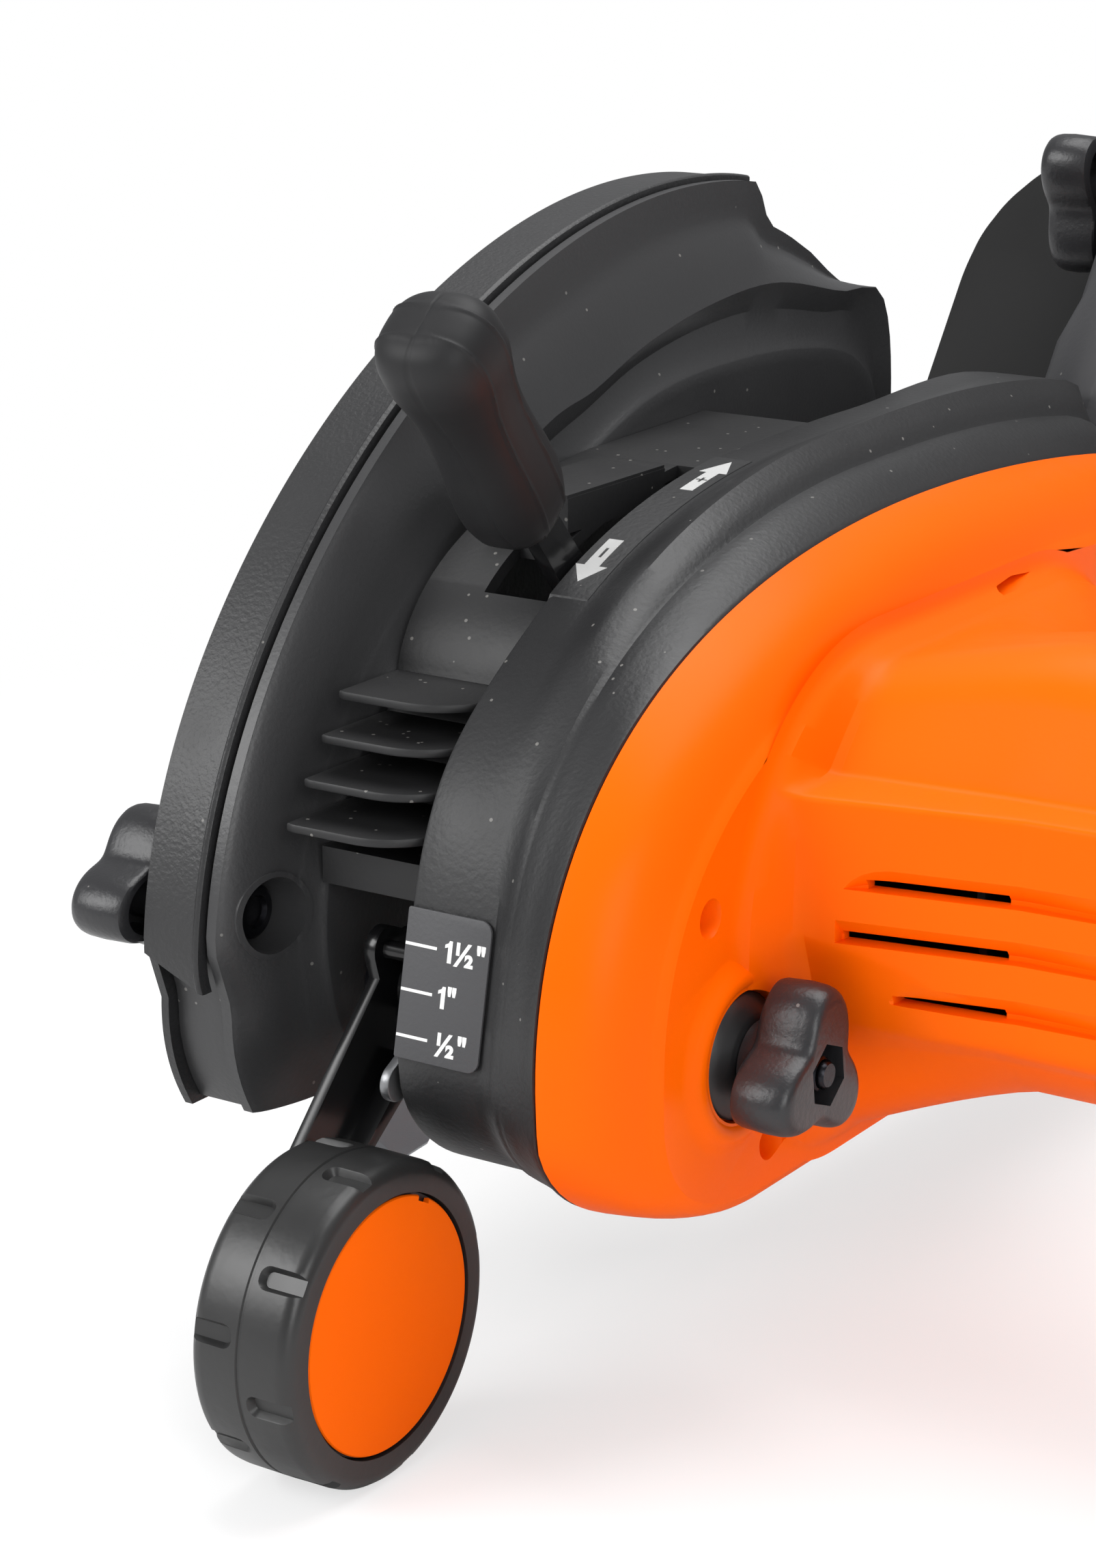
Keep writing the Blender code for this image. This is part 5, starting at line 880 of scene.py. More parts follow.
guard_whole = arch + rear_drop + chin
guard_turns = [tau * step / GUARD_ROW for step in range(GUARD_ROW)]


def through(points, steps=8):
    """A smooth closed line through a few points."""
    count = len(points)
    line = []
    for index in range(count):
        p0, p1, p2, p3 = [Vector(points[(index + k) % count]) for k in (-1, 0, 1, 2)]
        line += curve(p1, p1 + (p2 - p0) / 6, p2 - (p3 - p1) / 6, p2, steps)
    return line


under_band = read_at(inset(guard_whole, 0.0033), SPINDLE, guard_turns)
lip = read_at(inset(guard_whole, 0.0010), SPINDLE, guard_turns)
right_edge = read_at(through([(0.0560, 0.0780), (0.0480, 0.0960), (0.0470, 0.1160), (0.0530, 0.1370),
                              (0.0720, 0.1620), (0.0970, 0.1810), (0.1220, 0.1905), (0.1466, 0.1975),
                              (0.1650, 0.2065), (0.1912, 0.2152), (0.2229, 0.2185), (0.2682, 0.2170),
                              (0.3030, 0.2085), (0.3160, 0.1850), (0.3080, 0.1300), (0.2620, 0.0850),
                              (0.1600, 0.0640), (0.0850, 0.0640)]), SPINDLE, guard_turns)
first_ridge = read_at(through([(0.0500, 0.0700), (0.0420, 0.1150), (0.0600, 0.1600), (0.1000, 0.1960),
                               (0.1439, 0.2154), (0.1660, 0.2207), (0.1922, 0.2293), (0.2266, 0.2354),
                               (0.2589, 0.2364), (0.2942, 0.2294), (0.3200, 0.2242), (0.3260, 0.1850),
                               (0.3180, 0.1200), (0.2680, 0.0600), (0.1000, 0.0500)]), SPINDLE, guard_turns)
eye_ring = [Vector(SPINDLE) + toward(turn) * 0.0240 for turn in guard_turns]
# The two steps on the dome run out where it turns into the bowl at the front.
stepped = [min(1.0, max(0.0, (radians(136) - turn) / radians(36))) if turn < radians(200)
           else min(1.0, max(0.0, (turn - radians(320)) / radians(20))) for turn in guard_turns]
plain = mix(lip, right_edge, 0.74)
ridge = [low.lerp(high, share) for low, high, share in zip(plain, first_ridge, stepped)]
foot_of_step = [r.lerp(e, 0.25 + 0.15 * share) for r, e, share in zip(ridge, right_edge, stepped)]


def row(high, low, bowl, step):
    """A row of the dome between two outlines: (x, share) where it is a bowl and where it has its step."""
    return ([bowl[0] + (step[0] - bowl[0]) * share for share in stepped],
            [a.lerp(b, bowl[1] + (step[1] - bowl[1]) * share) for a, b, share in zip(high, low, stepped)])


outside = [(-0.0660, under_band), (-0.0513, under_band), (-0.0511, mix(under_band, lip, 0.85)),
           (-0.0508, lip), (-0.0481, lip)]
# Nearly square to the band at first, the bowl rounds over towards its flat right wall. Where the
# dome has its step, it stands out further and ends in an edge that overhangs the next face.
outside += [row(lip, ridge, bowl, step) for bowl, step in
            (((-0.0479, 0.012), (-0.0480, 0.060)), ((-0.0475, 0.030), (-0.0479, 0.140)),
             ((-0.0469, 0.065), (-0.0478, 0.230)), ((-0.0461, 0.125), (-0.0476, 0.320)),
             ((-0.0453, 0.205), (-0.0471, 0.385)), ((-0.0445, 0.300), (-0.0459, 0.450)),
             ((-0.0437, 0.410), (-0.0445, 0.535)), ((-0.0429, 0.540), (-0.0431, 0.630)),
             ((-0.0423, 0.680), (-0.0417, 0.740)), ((-0.0418, 0.830), (-0.0402, 0.870)),
             ((-0.0413, 0.900), (-0.0390, 0.975)))]
outside += [row(ridge, foot_of_step, bowl, step) for bowl, step in
            (((-0.0409, 0.0), (-0.0386, 0.03)), ((-0.0405, 0.40), (-0.0389, 0.16)),
             ((-0.0401, 1.0), (-0.0412, 1.0)))]
outside += [row(foot_of_step, right_edge, bowl, step) for bowl, step in
            (((-0.0390, 0.50), (-0.0400, 0.50)), ((-0.0378, 0.88), (-0.0379, 0.92)))]
outside += [(-0.0372, right_edge), (GUARD_RIGHT, inset(right_edge, 0.0005))]
inside = [(GUARD_RIGHT, inset(right_edge, 0.0040)), (GUARD_RIGHT, eye_ring), (-0.0395, eye_ring),
          (-0.0395, inset(right_edge, 0.0025)), (-0.0428, inset(foot_of_step, 0.0022)),
          (-0.0438, inset(ridge, 0.0015)), (-0.0485, inset(mix(lip, ridge, 0.30), 0.0020)),
          (-0.0520, inset(under_band, 0.0025)), (-0.0660, inset(under_band, 0.0025))]
guard = skin("guard_dome", outside + inside, closed=True)
filled = skin("guard_filled", [([depth + 0.0005 for depth in x] if isinstance(x, list) else x + 0.0005,
                                inset(outline, -0.0001)) for x, outline in outside])
cup = rod("screw_cup", -0.0640, -0.0380, 0.0106, GUARD_SCREW, 80)
combine(cup, "INTERSECT", filled, solver="EXACT")
combine(guard, "UNION", cup, solver="EXACT")
combine(guard, "DIFFERENCE",
        turned("cup_bore", [(-0.0560, 0.0), (-0.0560, 0.0074), (-0.0510, 0.0082), (-0.0460, 0.0089),
                            (-0.0420, 0.0093), (-0.0200, 0.0094), (-0.0200, 0.0)], GUARD_SCREW, 80),
        rod("guard_screw_hole", -0.08, -0.04, BORE_R, GUARD_SCREW), solver="EXACT")
mouth = corners((-50, -50), (400, -50), (400, 168), (345, 168), (235, 100), (170, 86), (150, 86), (95, 66),
                (-50, 66))
combine(guard, "DIFFERENCE", slab("guard_mouth", -0.10, 0.0, mouth), solver="EXACT")
fit(guard, guard_black_painted_light, "frame", "guard_shell", smooth=32)

guard_plate = skin("guard_left_plate", [(-0.0690, inset(guard_whole, 0.0006)), (-0.0685, guard_whole),
                                        (-0.0663, guard_whole)])
band_path = curve((0.0215, 0.0880), (0.0205, 0.0960), (0.0160, 0.0990), (0.0170, 0.1100), 14)
band_path += arch + rear_drop[:1]


def band_between(high, low):
    """The band's section lengthwise, between two heights above the guard's outline."""
    normals = []
    for index, here in enumerate(band_path):
        way = (band_path[min(index + 1, len(band_path) - 1)] - band_path[max(index - 1, 0)]).normalized()
        normals.append(Vector((-way.y, way.x)))
    over = [p + n * high for p, n in zip(band_path, normals)]
    below = [p + n * low for p, n in zip(band_path, normals)]
    return over + below[::-1]


band = skin("guard_band", [(-0.0684, band_between(0.0, -0.0030)), (-0.0540, band_between(0.0, -0.0030)),
                           (-0.0537, band_between(0.0004, -0.0030)), (-0.0532, band_between(0.0007, -0.0030)),
                           (-0.0526, band_between(0.0006, -0.0030)), (-0.0521, band_between(0.0002, -0.0030)),
                           (BAND_RIGHT, band_between(-0.0004, -0.0030))])
slant = Matrix(((0, 0, 1, 0), (1, 0, 0, 0), (0, 1, 0, 0), (0, 0, 0, 1)))
off_cut = corners((60, -80), (112, -80), (98.5, -51.7), (97.5, -40), (60, -40))
combine(band, "DIFFERENCE", settle(slab("band_end_cut", -0.05, 0.0400, off_cut), slant), solver="EXACT")
combine(guard_plate, "UNION", band, solver="EXACT")
cover_mouth = corners((-50, -50), (400, -50), (400, 168), (345, 168), (235, 100), (95, 64), (-50, 65))
combine(guard_plate, "DIFFERENCE", slab("cover_mouth", -0.10, 0.0, cover_mouth),
        rod("cover_screw_hole", -0.10, -0.05, BORE_R, GUARD_SCREW), solver="EXACT")
fit(guard_plate, band_nylon, "frame", "guard_cover", smooth=35)


# Blade and its clamping.
# A bar of hardened steel with cropped ends, held between zinc plated flanges by a nut. The grinder
# has drawn its flats lengthwise.

# Bright plating, faintly grey.
zinc_steel = finish("zinc_plated_steel", "#a9abb0", 0.32, grain_mm=1.5, relief=0.10, metallic=1.0)
# Fine lines that run along the blade.
blade_steel = finish("ground_spring_steel", "#8f9296", 0.34, grain_mm=0.5, relief=0.35, metallic=1.0,
                     drawn=(1, 1, 10))
BLADE_REACH = 0.1130
blade_turn = toward(radians(228))
HALF_WIDE, TIP_HALF_WIDE = 0.022, 0.012
half_long = sqrt(BLADE_REACH ** 2 - TIP_HALF_WIDE ** 2)
shoulder_at = half_long - 0.010
bar = []
for a, b in ((half_long, TIP_HALF_WIDE), (shoulder_at, HALF_WIDE), (-shoulder_at, HALF_WIDE),
             (-half_long, TIP_HALF_WIDE), (-half_long, -TIP_HALF_WIDE), (-shoulder_at, -HALF_WIDE),
             (shoulder_at, -HALF_WIDE), (half_long, -TIP_HALF_WIDE)):
    bar.append(Vector(SPINDLE) + Vector((a * blade_turn.x - b * blade_turn.y,
                                         a * blade_turn.y + b * blade_turn.x)))
blade = skin("bar_blade", [(-0.0540, inset(bar, 0.0014)), (-0.0530, inset(bar, 0.0001)),
                           (-0.0520, inset(bar, 0.0001)), (-0.0510, inset(bar, 0.0014))])
combine(blade, "DIFFERENCE", rod("blade_hole", -0.06, -0.04, SPINDLE_BORE_R, SPINDLE, 64))
fit(blade, blade_steel, "spindle", "edger_blade")
fit(turned("flange_turned", [(-0.0507, SPINDLE_BORE_R), (-0.0507, 0.0154), (-0.0502, 0.0160),
                             (-0.0482, 0.0160), (-0.0477, 0.0154), (-0.0477, 0.0104), (-0.0471, 0.0098),
                             (-0.0329, 0.0098), (-0.0325, 0.0094), (-0.0325, SPINDLE_BORE_R)], SPINDLE),
    zinc_steel, "spindle", "inner_flange")
nut = turned("nut_flange", [(-0.0567, SPINDLE_BORE_R), (-0.0567, 0.0150), (-0.0560, 0.0160),
                            (-0.0543, 0.0160), (-0.0543, SPINDLE_BORE_R)], SPINDLE)
hexagon = ring_of(SPINDLE, 0.0098, 6, 0.3)
combine(nut, "UNION", skin("nut_hexagon", [(-0.0630, inset(hexagon, 0.0007)), (-0.0624, hexagon),
                                           (-0.0560, hexagon)]))
combine(nut, "DIFFERENCE", rod("nut_thread", -0.07, -0.04, SPINDLE_BORE_R, SPINDLE))
fit(nut, zinc_steel, "spindle", "flanged_blade_nut")


# Knobs, washer and bolts.
# Winged nylon knobs on M8 screws, hollow underneath. The pivot knob shows the end of its screw in a
# hexagon and stands on a rubber washer in the cover's raised seat.

# A soft sheen that rounds the knobs' lobes.
knob_nylon = finish("soft_sheen_knob_nylon", "#262628", 0.36, grain_mm=0.7, relief=0.35, dust=0.03)
# Near black metal with a tight highlight.
black_oxide = finish("black_oxide_steel", "#26262a", 0.30, grain_mm=0.6, relief=0.15, metallic=0.9)
# Dull rubber with a moulded skin.
washer_rubber = finish("moulded_washer_rubber", "#1c1c1d", 0.42, grain_mm=1.2, relief=0.12)
KNOB_R = 0.0205
SCREW_R = 0.0040
HEAD_R = 0.0065
HEAD_THICK = 0.0045


def wings(size, turn, share=1.0, count=120):
    """The three lobed outline of a knob, with full tips and shallow hollows."""
    outline = []
    for step in range(count):
        angle = tau * step / count
        radius = KNOB_R * size * share * (0.78 + 0.22 * cos(3 * angle))
        outline.append(Vector((radius * cos(angle + turn), radius * sin(angle + turn))))
    return outline


def knob(name, base, way, axis, turn, length, size=1.0, bored=False, hollow=True):
    """A winged knob whose foot stands at base and whose top points along way, -1 or 1."""
    rows = [(0.0, None, 0.45), (0.0033, None, 0.47), (0.0036, 0.90, 0), (0.0041, 0.945, 0),
            (0.0052, 0.965, 0), (0.60 * length, 0.985, 0), (0.80 * length, 0.975, 0),
            (0.88 * length, 0.955, 0), (0.935 * length, 0.925, 0), (0.975 * length, 0.880, 0),
            (0.995 * length, 0.830, 0), (length, 0.770, 0)]
    stations = []
    for height, share, foot_share in rows:
        outline = wings(size, turn, share) if share else ring_of((0, 0), KNOB_R * foot_share, 120, turn)
        stations.append((base + way * height, outline))
    made = skin(name, stations)
    if hollow:
        shares = ((0.0012, 0.80), (0.62 * length, 0.74))
        core = skin("knob_core", [(base + way * h, wings(size, turn, share)) for h, share in shares])
        combine(core, "DIFFERENCE", rod("knob_hub", *sorted((base - way * 0.001, base + way * length)),
                                        0.0072, (0, 0)))
        combine(made, "DIFFERENCE", core, solver="EXACT")
    if bored:
        ends = sorted((base - way * 0.005, base + way * (length + 0.01)))
        combine(made, "DIFFERENCE", rod("knob_bore", *ends, BORE_R, (0, 0)), solver="EXACT")
        hexagon = ring_of((0, 0), 0.0078, 6, turn + 0.35)
        top = sorted((base + way * (length - 0.0075), base + way * (length + 0.01)))
        combine(made, "DIFFERENCE", slab("knob_hexagon", *top, hexagon), solver="EXACT")
    bpy.ops.object.mode_set(mode="EDIT")
    bpy.ops.mesh.select_all(action="SELECT")
    bpy.ops.mesh.remove_doubles(threshold=2e-5)
    bpy.ops.object.mode_set(mode="OBJECT")
    return settle(made, Matrix.Translation((0.0, *axis)))


def threaded(start, end, way, radius=SCREW_R, pitch=0.00125):
    """Profile points of a rolled thread between two places along the screw."""
    points = []
    x = start
    while (end - x) * way > pitch:
        points += [(x, radius - 0.0006), (x + way * pitch * 0.28, radius), (x + way * pitch * 0.52, radius),
                   (x + way * pitch * 0.80, radius - 0.0006)]
        x += way * pitch
    return points


def screw(name, head, tip, way, axis, body):
    """A machine screw along X with a dished round head and a chamfered, threaded end."""
    under = head + way * HEAD_THICK
    dish = head + way * 0.0012
    profile = [(dish, 0.0), (dish, 0.0034), (head, 0.0040), (head, 0.0058), (head + way * 0.0006, HEAD_R),
               (under, HEAD_R), (under, SCREW_R)]
    profile += threaded(tip - way * 0.0140, tip - way * 0.0010, way)
    profile += [(tip - way * 0.0009, SCREW_R - 0.0006), (tip, SCREW_R - 0.0013), (tip, 0.0)]
    return fit(turned(name + "_rolled", profile, axis, 56), black_oxide, body, name, smooth=40)


washer_left = FACE_X - 0.0005
washer = turned("pivot_washer", [(0.0, BORE_R), (0.0, 0.0148), (0.0020, 0.0149), (0.0029, 0.0143),
                                 (0.0040, 0.0126), (0.0054, 0.0110), (0.0060, 0.0098), (0.0060, BORE_R)],
                ARM_PIVOT, 96, washer_left)
fit(washer, washer_rubber, "frame", "knob_washer")
fit(knob("pivot_wings", washer_left + 0.0063, 1, ARM_PIVOT, radians(78), 0.0185, bored=True, hollow=False),
    knob_nylon, "pivot_knob", "pivot_knob", smooth=35)
fit(knob("guard_wings", -0.0693, -1, GUARD_SCREW, radians(68), 0.020, bored=True), knob_nylon, "guard_knob",
    "guard_knob", smooth=35)
screw("pivot_bolt", -0.0335, FACE_X + 0.0245, 1, ARM_PIVOT, "frame")
screw("guard_bolt", -0.0472, -0.0880, -1, GUARD_SCREW, "frame")


# Wheel arm and pointer.
# A pressed steel arm with a turned flange, welded to its pivot sleeve and stove enamelled in
# gloss black, and a cast zinc finger on the sleeve that reads the depth.

# Deep black with clear reflections and a slight orange peel.
gloss_enamel = finish("stoved_black_enamel", "#151516", 0.20, spread=0.04, grain_mm=5.0, relief=0.10)
# Mid grey metal, uneven from its mould.
bare_zinc = finish("bare_zinc_casting", "#8d8e90", 0.42, grain_mm=0.9, relief=0.25, metallic=0.9)
FRONT_WHEEL_R = 0.0381
FRONT_AXLE = (0.0, FRONT_WHEEL_R)
ARM_LEFT = -0.0260
CRANK_LENGTH = 0.0156
LEVER_PIN_R = 0.027
crank_pin = Vector(ARM_PIVOT) + toward(radians(132.4)) * CRANK_LENGTH
lever_pin = Vector(SPINDLE) + toward(radians(110)) * LEVER_PIN_R


def bar_outline(start, end, start_radius, end_radius, steps=24):
    """Two round ends joined by their tangents, like a pressed link."""
    a = Vector(start)
    b = Vector(end)
    span = b - a
    heading = atan2(span.y, span.x)
    tilt = acos((start_radius - end_radius) / span.length)
    near = [heading + tilt + (tau - 2 * tilt) * step / steps for step in range(steps + 1)]
    far = [heading - tilt + 2 * tilt * step / steps for step in range(steps + 1)]
    return ([a + toward(t) * start_radius for t in near]
            + [b + toward(t) * end_radius for t in far])


arm = slab("pressed_arm", ARM_LEFT, ARM_LEFT + 0.003, bar_outline(ARM_PIVOT, FRONT_AXLE, 0.0135, 0.0085))
down = (Vector(FRONT_AXLE) - Vector(ARM_PIVOT)).normalized()
over = Vector((-down.y, down.x))
rim_start = Vector(ARM_PIVOT) + down * 0.016
rim_end = Vector(FRONT_AXLE) - down * 0.040
rim_outline = [rim_start + over * 0.0055, rim_end + over * 0.0050, rim_end + over * 0.0075,
               rim_start + over * 0.0105]
ear = bar_outline(ARM_PIVOT, crank_pin, 0.0120, 0.0055)
weld_nut = ring_of(FRONT_AXLE, 0.0075, 6, 0.2)
combine(arm, "UNION", slab("arm_ear", ARM_LEFT, ARM_LEFT + 0.003, ear),
        slab("arm_flange", ARM_LEFT + 0.001, ARM_LEFT + 0.0085, rim_outline),
        rod("arm_sleeve", ARM_LEFT + 0.001, -0.0025, 0.0070, ARM_PIVOT),
        rod("crank_stud", ARM_LEFT - 0.0012, -0.0055, 0.0022, crank_pin, 32),
        slab("weld_nut", ARM_LEFT - 0.0055, ARM_LEFT + 0.001, weld_nut), solver="EXACT")
combine(arm, "DIFFERENCE", rod("arm_bore", ARM_LEFT - 0.01, 0.01, BORE_R, ARM_PIVOT),
        rod("axle_hole", ARM_LEFT - 0.01, ARM_LEFT + 0.01, BORE_R, FRONT_AXLE), solver="EXACT")
break_edges(arm, 0.0004, 2, 40)
fit(arm, gloss_enamel, "wheel_arm", "wheel_arm", smooth=40)

tip = Vector(ARM_PIVOT) + toward(radians(197)) * 0.036
finger_outline = bar_outline(ARM_PIVOT, tip, 0.0105, 0.0045)
finger = slab("pointer_finger", -0.0055, -0.0030, finger_outline)
combine(finger, "DIFFERENCE", rod("finger_bore", -0.02, 0.01, 0.0073, ARM_PIVOT), solver="EXACT")
break_edges(finger, 0.0004, 2, 40)
fit(finger, bare_zinc, "wheel_arm", "depth_pointer", smooth=40)
fit(turned("axle_bolt_turned", [(0.0093, 0.0), (0.0093, 0.0034), (0.0105, 0.0040), (0.0105, 0.0064),
                                (0.0099, 0.0070), (0.0075, 0.0070), (0.0075, 0.0040), (-0.0145, 0.0040),
                                (-0.0145, 0.0070), (-0.0227, 0.0070), (-0.0227, 0.0040), (-0.0325, 0.0040),
                                (-0.0330, 0.0035), (-0.0330, 0.0)], FRONT_AXLE), zinc_steel, "wheel_arm",
    "front_axle_bolt")


# Depth lever and link.
# A blanked steel lever that turns on the spindle boss, enamelled black, and a zinc plated link to
# the arm's ear.
heading = toward(radians(131))
side = Vector((-heading.y, heading.x)) * 0.0060
hub = Vector(SPINDLE)
stem = [hub + heading * reach + side * share for reach, share in
        ((0.022, -1.0), (0.169, -0.7), (0.169, 0.7), (0.022, 1.0))]
lever = slab("blanked_lever", -0.0065, -0.0025, stem)
combine(lever, "UNION", rod("lever_ring", -0.0065, -0.0025, 0.034, SPINDLE, 96),
        turned("lever_stud", [(-0.0108, 0.0), (-0.0108, 0.0036), (-0.0098, 0.0036), (-0.0098, 0.0022),
                              (-0.0035, 0.0022), (-0.0035, 0.0)], lever_pin, 32), solver="EXACT")
combine(lever, "DIFFERENCE", rod("boss_hole", -0.0165, 0.0075, 0.0168, SPINDLE, 96), solver="EXACT")
break_edges(lever, 0.0003, 2, 40)
fit(lever, gloss_enamel, "depth_lever", "depth_lever", smooth=40)
link_outline = bar_outline(lever_pin, crank_pin, 0.0052, 0.0045)
link = slab("blanked_link", -0.0095, -0.0070, link_outline)
combine(link, "DIFFERENCE", rod("link_hole", -0.0195, 0.003, 0.0025, lever_pin, 32),
        rod("link_slack_hole", -0.0195, 0.003, 0.0034, crank_pin, 32), solver="EXACT")
fit(break_edges(link, 0.0003, 2, 40), zinc_steel, "depth_link", "depth_link", smooth=40)


# Lever grip.
# Soft PVC pushed over the lever: a domed cap, a waist and a full lower end. Two ribs run down its
# sides and over the cap, and fingers have left it a soft sheen.

# Soft black with a broad, dim sheen that varies a little.
soft_pvc = finish("moulded_soft_pvc", "#232324", 0.50, spread=0.05, specular=0.24, grain_mm=1.5, relief=0.10,
                  mottle=0.10, dust=0.01)
GRIP_START = 0.109
CAP_HEIGHT = 0.0600
CAP_RISE = 0.0120
CAP_WIDE, CAP_DEEP = 0.0143, 0.0132
GRIP_STEP = 0.0016
PARTING = 0.0009
grip_sections = [(0.0000, 0.0050, 0.0050), (0.0004, 0.0075, 0.0076), (0.0016, 0.0094, 0.0096),
                 (0.0040, 0.0106, 0.0112), (0.0080, 0.0114, 0.0126), (0.0140, 0.0118, 0.0132),
                 (0.0220, 0.0117, 0.0126), (0.0300, 0.0114, 0.0116), (0.0380, 0.0114, 0.0112),
                 (0.0440, 0.0118, 0.0114), (0.0490, 0.0126, 0.0119), (0.0530, 0.0135, 0.0126),
                 (0.0560, 0.0141, 0.0131), (CAP_HEIGHT, CAP_WIDE, CAP_DEEP)]
for step in range(1, 25):
    turn = radians(90) * step / 24
    narrow = cos(turn) ** 0.60 if step < 24 else 0.06
    grip_sections.append((CAP_HEIGHT + CAP_RISE * sin(turn) ** 0.75, CAP_WIDE * narrow, CAP_DEEP * narrow))
up_grip = Vector((0.0, heading.x, heading.y))
wide_way = Vector((1.0, 0.0, 0.0))
deep_way = up_grip.cross(wide_way)
GRIP_ROUND = 200
fine = grip_sections[:4]
for (h0, w0, d0), (h1, w1, d1) in zip(grip_sections[3:13], grip_sections[4:14]):
    count = max(1, round((h1 - h0) / GRIP_STEP))
    fine += [(h0 + (h1 - h0) * k / count, w0 + (w1 - w0) * k / count, d0 + (d1 - d0) * k / count)
             for k in range(1, count + 1)]
for _ in range(2):
    fine = fine[:4] + [(h, (fine[i + 3][1] + w + fine[i + 5][1]) / 3,
                        (fine[i + 3][2] + d + fine[i + 5][2]) / 3)
                       for i, (h, w, d) in enumerate(fine[4:-1])] + fine[-1:]
fine += grip_sections[14:]


def bow(value, power=0.78):
    """Sine or cosine pushed outward, for a section between round and square."""
    return abs(value) ** power * (1 if value > 0 else -1)


def grip_outline(height, wide, deep):
    """The grip's outline at a height. Below the cap its middle leans back over the lever's edge."""
    lean = 0.0048 * max(0.0, 1 - height / CAP_HEIGHT) - PARTING
    turns = [tau * step / GRIP_ROUND for step in range(GRIP_ROUND)]
    return [Vector((bow(cos(t)) * wide - lean, bow(sin(t)) * deep)) for t in turns]


grip = skin("soft_grip", [(height, grip_outline(height, wide, deep)) for height, wide, deep in fine])
# Two raised ribs run down the sides and over the cap, and a fine parting line crosses them.
RIB_OUT, RIB_WIDE, RIB_HIGH = 0.0046, 0.00042, 0.00042
LINE_WIDE, LINE_DEEP = 0.00030, 0.00022
for vert in grip.data.vertices:
    over_rib = exp(-((abs(vert.co.z) - RIB_OUT) / RIB_WIDE) ** 2)
    over_parting = exp(-((vert.co.y - PARTING) / LINE_WIDE) ** 2)
    vert.co += vert.normal * (RIB_HIGH * over_rib - LINE_DEEP * over_parting)
on_lever = Matrix(((up_grip.x, wide_way.x, deep_way.x, -0.0045),
                   (up_grip.y, wide_way.y, deep_way.y, SPINDLE[0]),
                   (up_grip.z, wide_way.z, deep_way.z, SPINDLE[1]), (0, 0, 0, 1)))
settle(grip, on_lever @ Matrix.Translation((GRIP_START, 0.0, 0.0)))
slit = [hub + heading * reach + side * share for reach, share in
        ((0.099, -1.05), (0.1693, -1.05), (0.1693, 1.05), (0.099, 1.05))]
combine(grip, "DIFFERENCE", slab("grip_slit", -0.0068, -0.0022, slit), solver="EXACT")
fit(grip, soft_pvc, "depth_lever", "lever_grip", smooth=50)


# Front wheel.
# A hard rubber tyre in two halves with staggered grooves and a parting line round its middle, on a
# black nylon hub, closed by a snapped in orange disc with a notch to pry it out.

# Hard rubber with duller and shinier patches.
tyre_rubber = finish("hard_tyre_rubber", "#262626", 0.36, spread=0.07, grain_mm=1.6, relief=0.22, mottle=0.15,
                     dust=0.01)
# Matt orange, even all over.
disc_orange = finish("pressed_orange_disc", "#ff6800", 0.55, grain_mm=0.9, relief=0.05, mottle=0.01,
                     specular=0.05)


GROOVE_HALF = 0.0026


def mirrored(profile):
    """The same profile points on the other side of x = 0, in the order that goes on round."""
    return [(-x, radius) for x, radius in profile[::-1]]


def tyre(name, radius, width, seat, axis, middle, grooves, steps=144):
    """A tyre with round shoulders. Grooves run from near its middle out over each shoulder."""
    half = width / 2
    left_rows = [(-half, seat), (-half, radius - 0.0034), (-half + 0.0003, radius - 0.0022),
                 (-half + 0.0011, radius - 0.0010), (-half + 0.0023, radius - 0.0002),
                 (-half + 0.0040, radius), (-0.0006, radius + 0.0001), (-0.0003, radius - 0.0003)]
    body = turned(name, left_rows + mirrored(left_rows), (0.0, 0.0), steps, middle)
    for side_sign, shift in ((1, 0.5), (-1, -0.5)):
        for number in range(grooves):
            turn = -pi / 2 + tau * number / grooves + shift * pi / grooves
            near, far = sorted((middle + side_sign * 0.0022, middle + side_sign * (half + 0.0030)))
            near_round, far_round = (0.0022, 0.0) if side_sign > 0 else (0.0, 0.0022)
            slot = rounded([(near, -GROOVE_HALF, near_round), (far, -GROOVE_HALF, far_round),
                            (far, GROOVE_HALF, far_round), (near, GROOVE_HALF, near_round)], 5)
            tool = skin("groove", [(radius - 0.0017, inset(slot, 0.0008)),
                                   (radius - 0.0003, inset(slot, 0.0)),
                                   (radius + 0.0010, inset(slot, -0.0010)),
                                   (radius + 0.004, inset(slot, -0.0014))])
            out = Vector((0, cos(turn), sin(turn)))
            along = Vector((0, sin(turn), -cos(turn)))
            settle(tool, Matrix(((out.x, 1, along.x, 0), (out.y, 0, along.y, 0), (out.z, 0, along.z, 0),
                                 (0, 0, 0, 1))))
            combine(body, "DIFFERENCE", tool, solver="EXACT")
    return settle(body, Matrix.Translation((0.0, *axis)))


fit(tyre("front_tyre_moulding", FRONT_WHEEL_R, 0.028, 0.0308, FRONT_AXLE, 0.0, 8), tyre_rubber, "front_wheel",
    "front_tyre")
fit(turned("front_hub_moulding", [(-0.014, 0.0275), (-0.014, 0.0301), (-0.0136, 0.0305), (0.0120, 0.0305),
                                  (0.0120, 0.0118), (0.0070, 0.0118), (0.0070, BORE_R), (-0.014, BORE_R),
                                  (-0.014, 0.0083), (0.004, 0.0083), (0.004, 0.0275)], FRONT_AXLE, 96),
    satin_nylon, "front_wheel", "front_hub")
cap = turned("wheel_disc", [(0.0123, 0.0), (0.0123, 0.0299), (0.0133, 0.0301), (0.0137, 0.0298),
                            (0.0138, 0.0290), (0.0138, 0.0)], FRONT_AXLE, 120)
pry = toward(radians(62))
pry_side = Vector((-pry.y, pry.x))
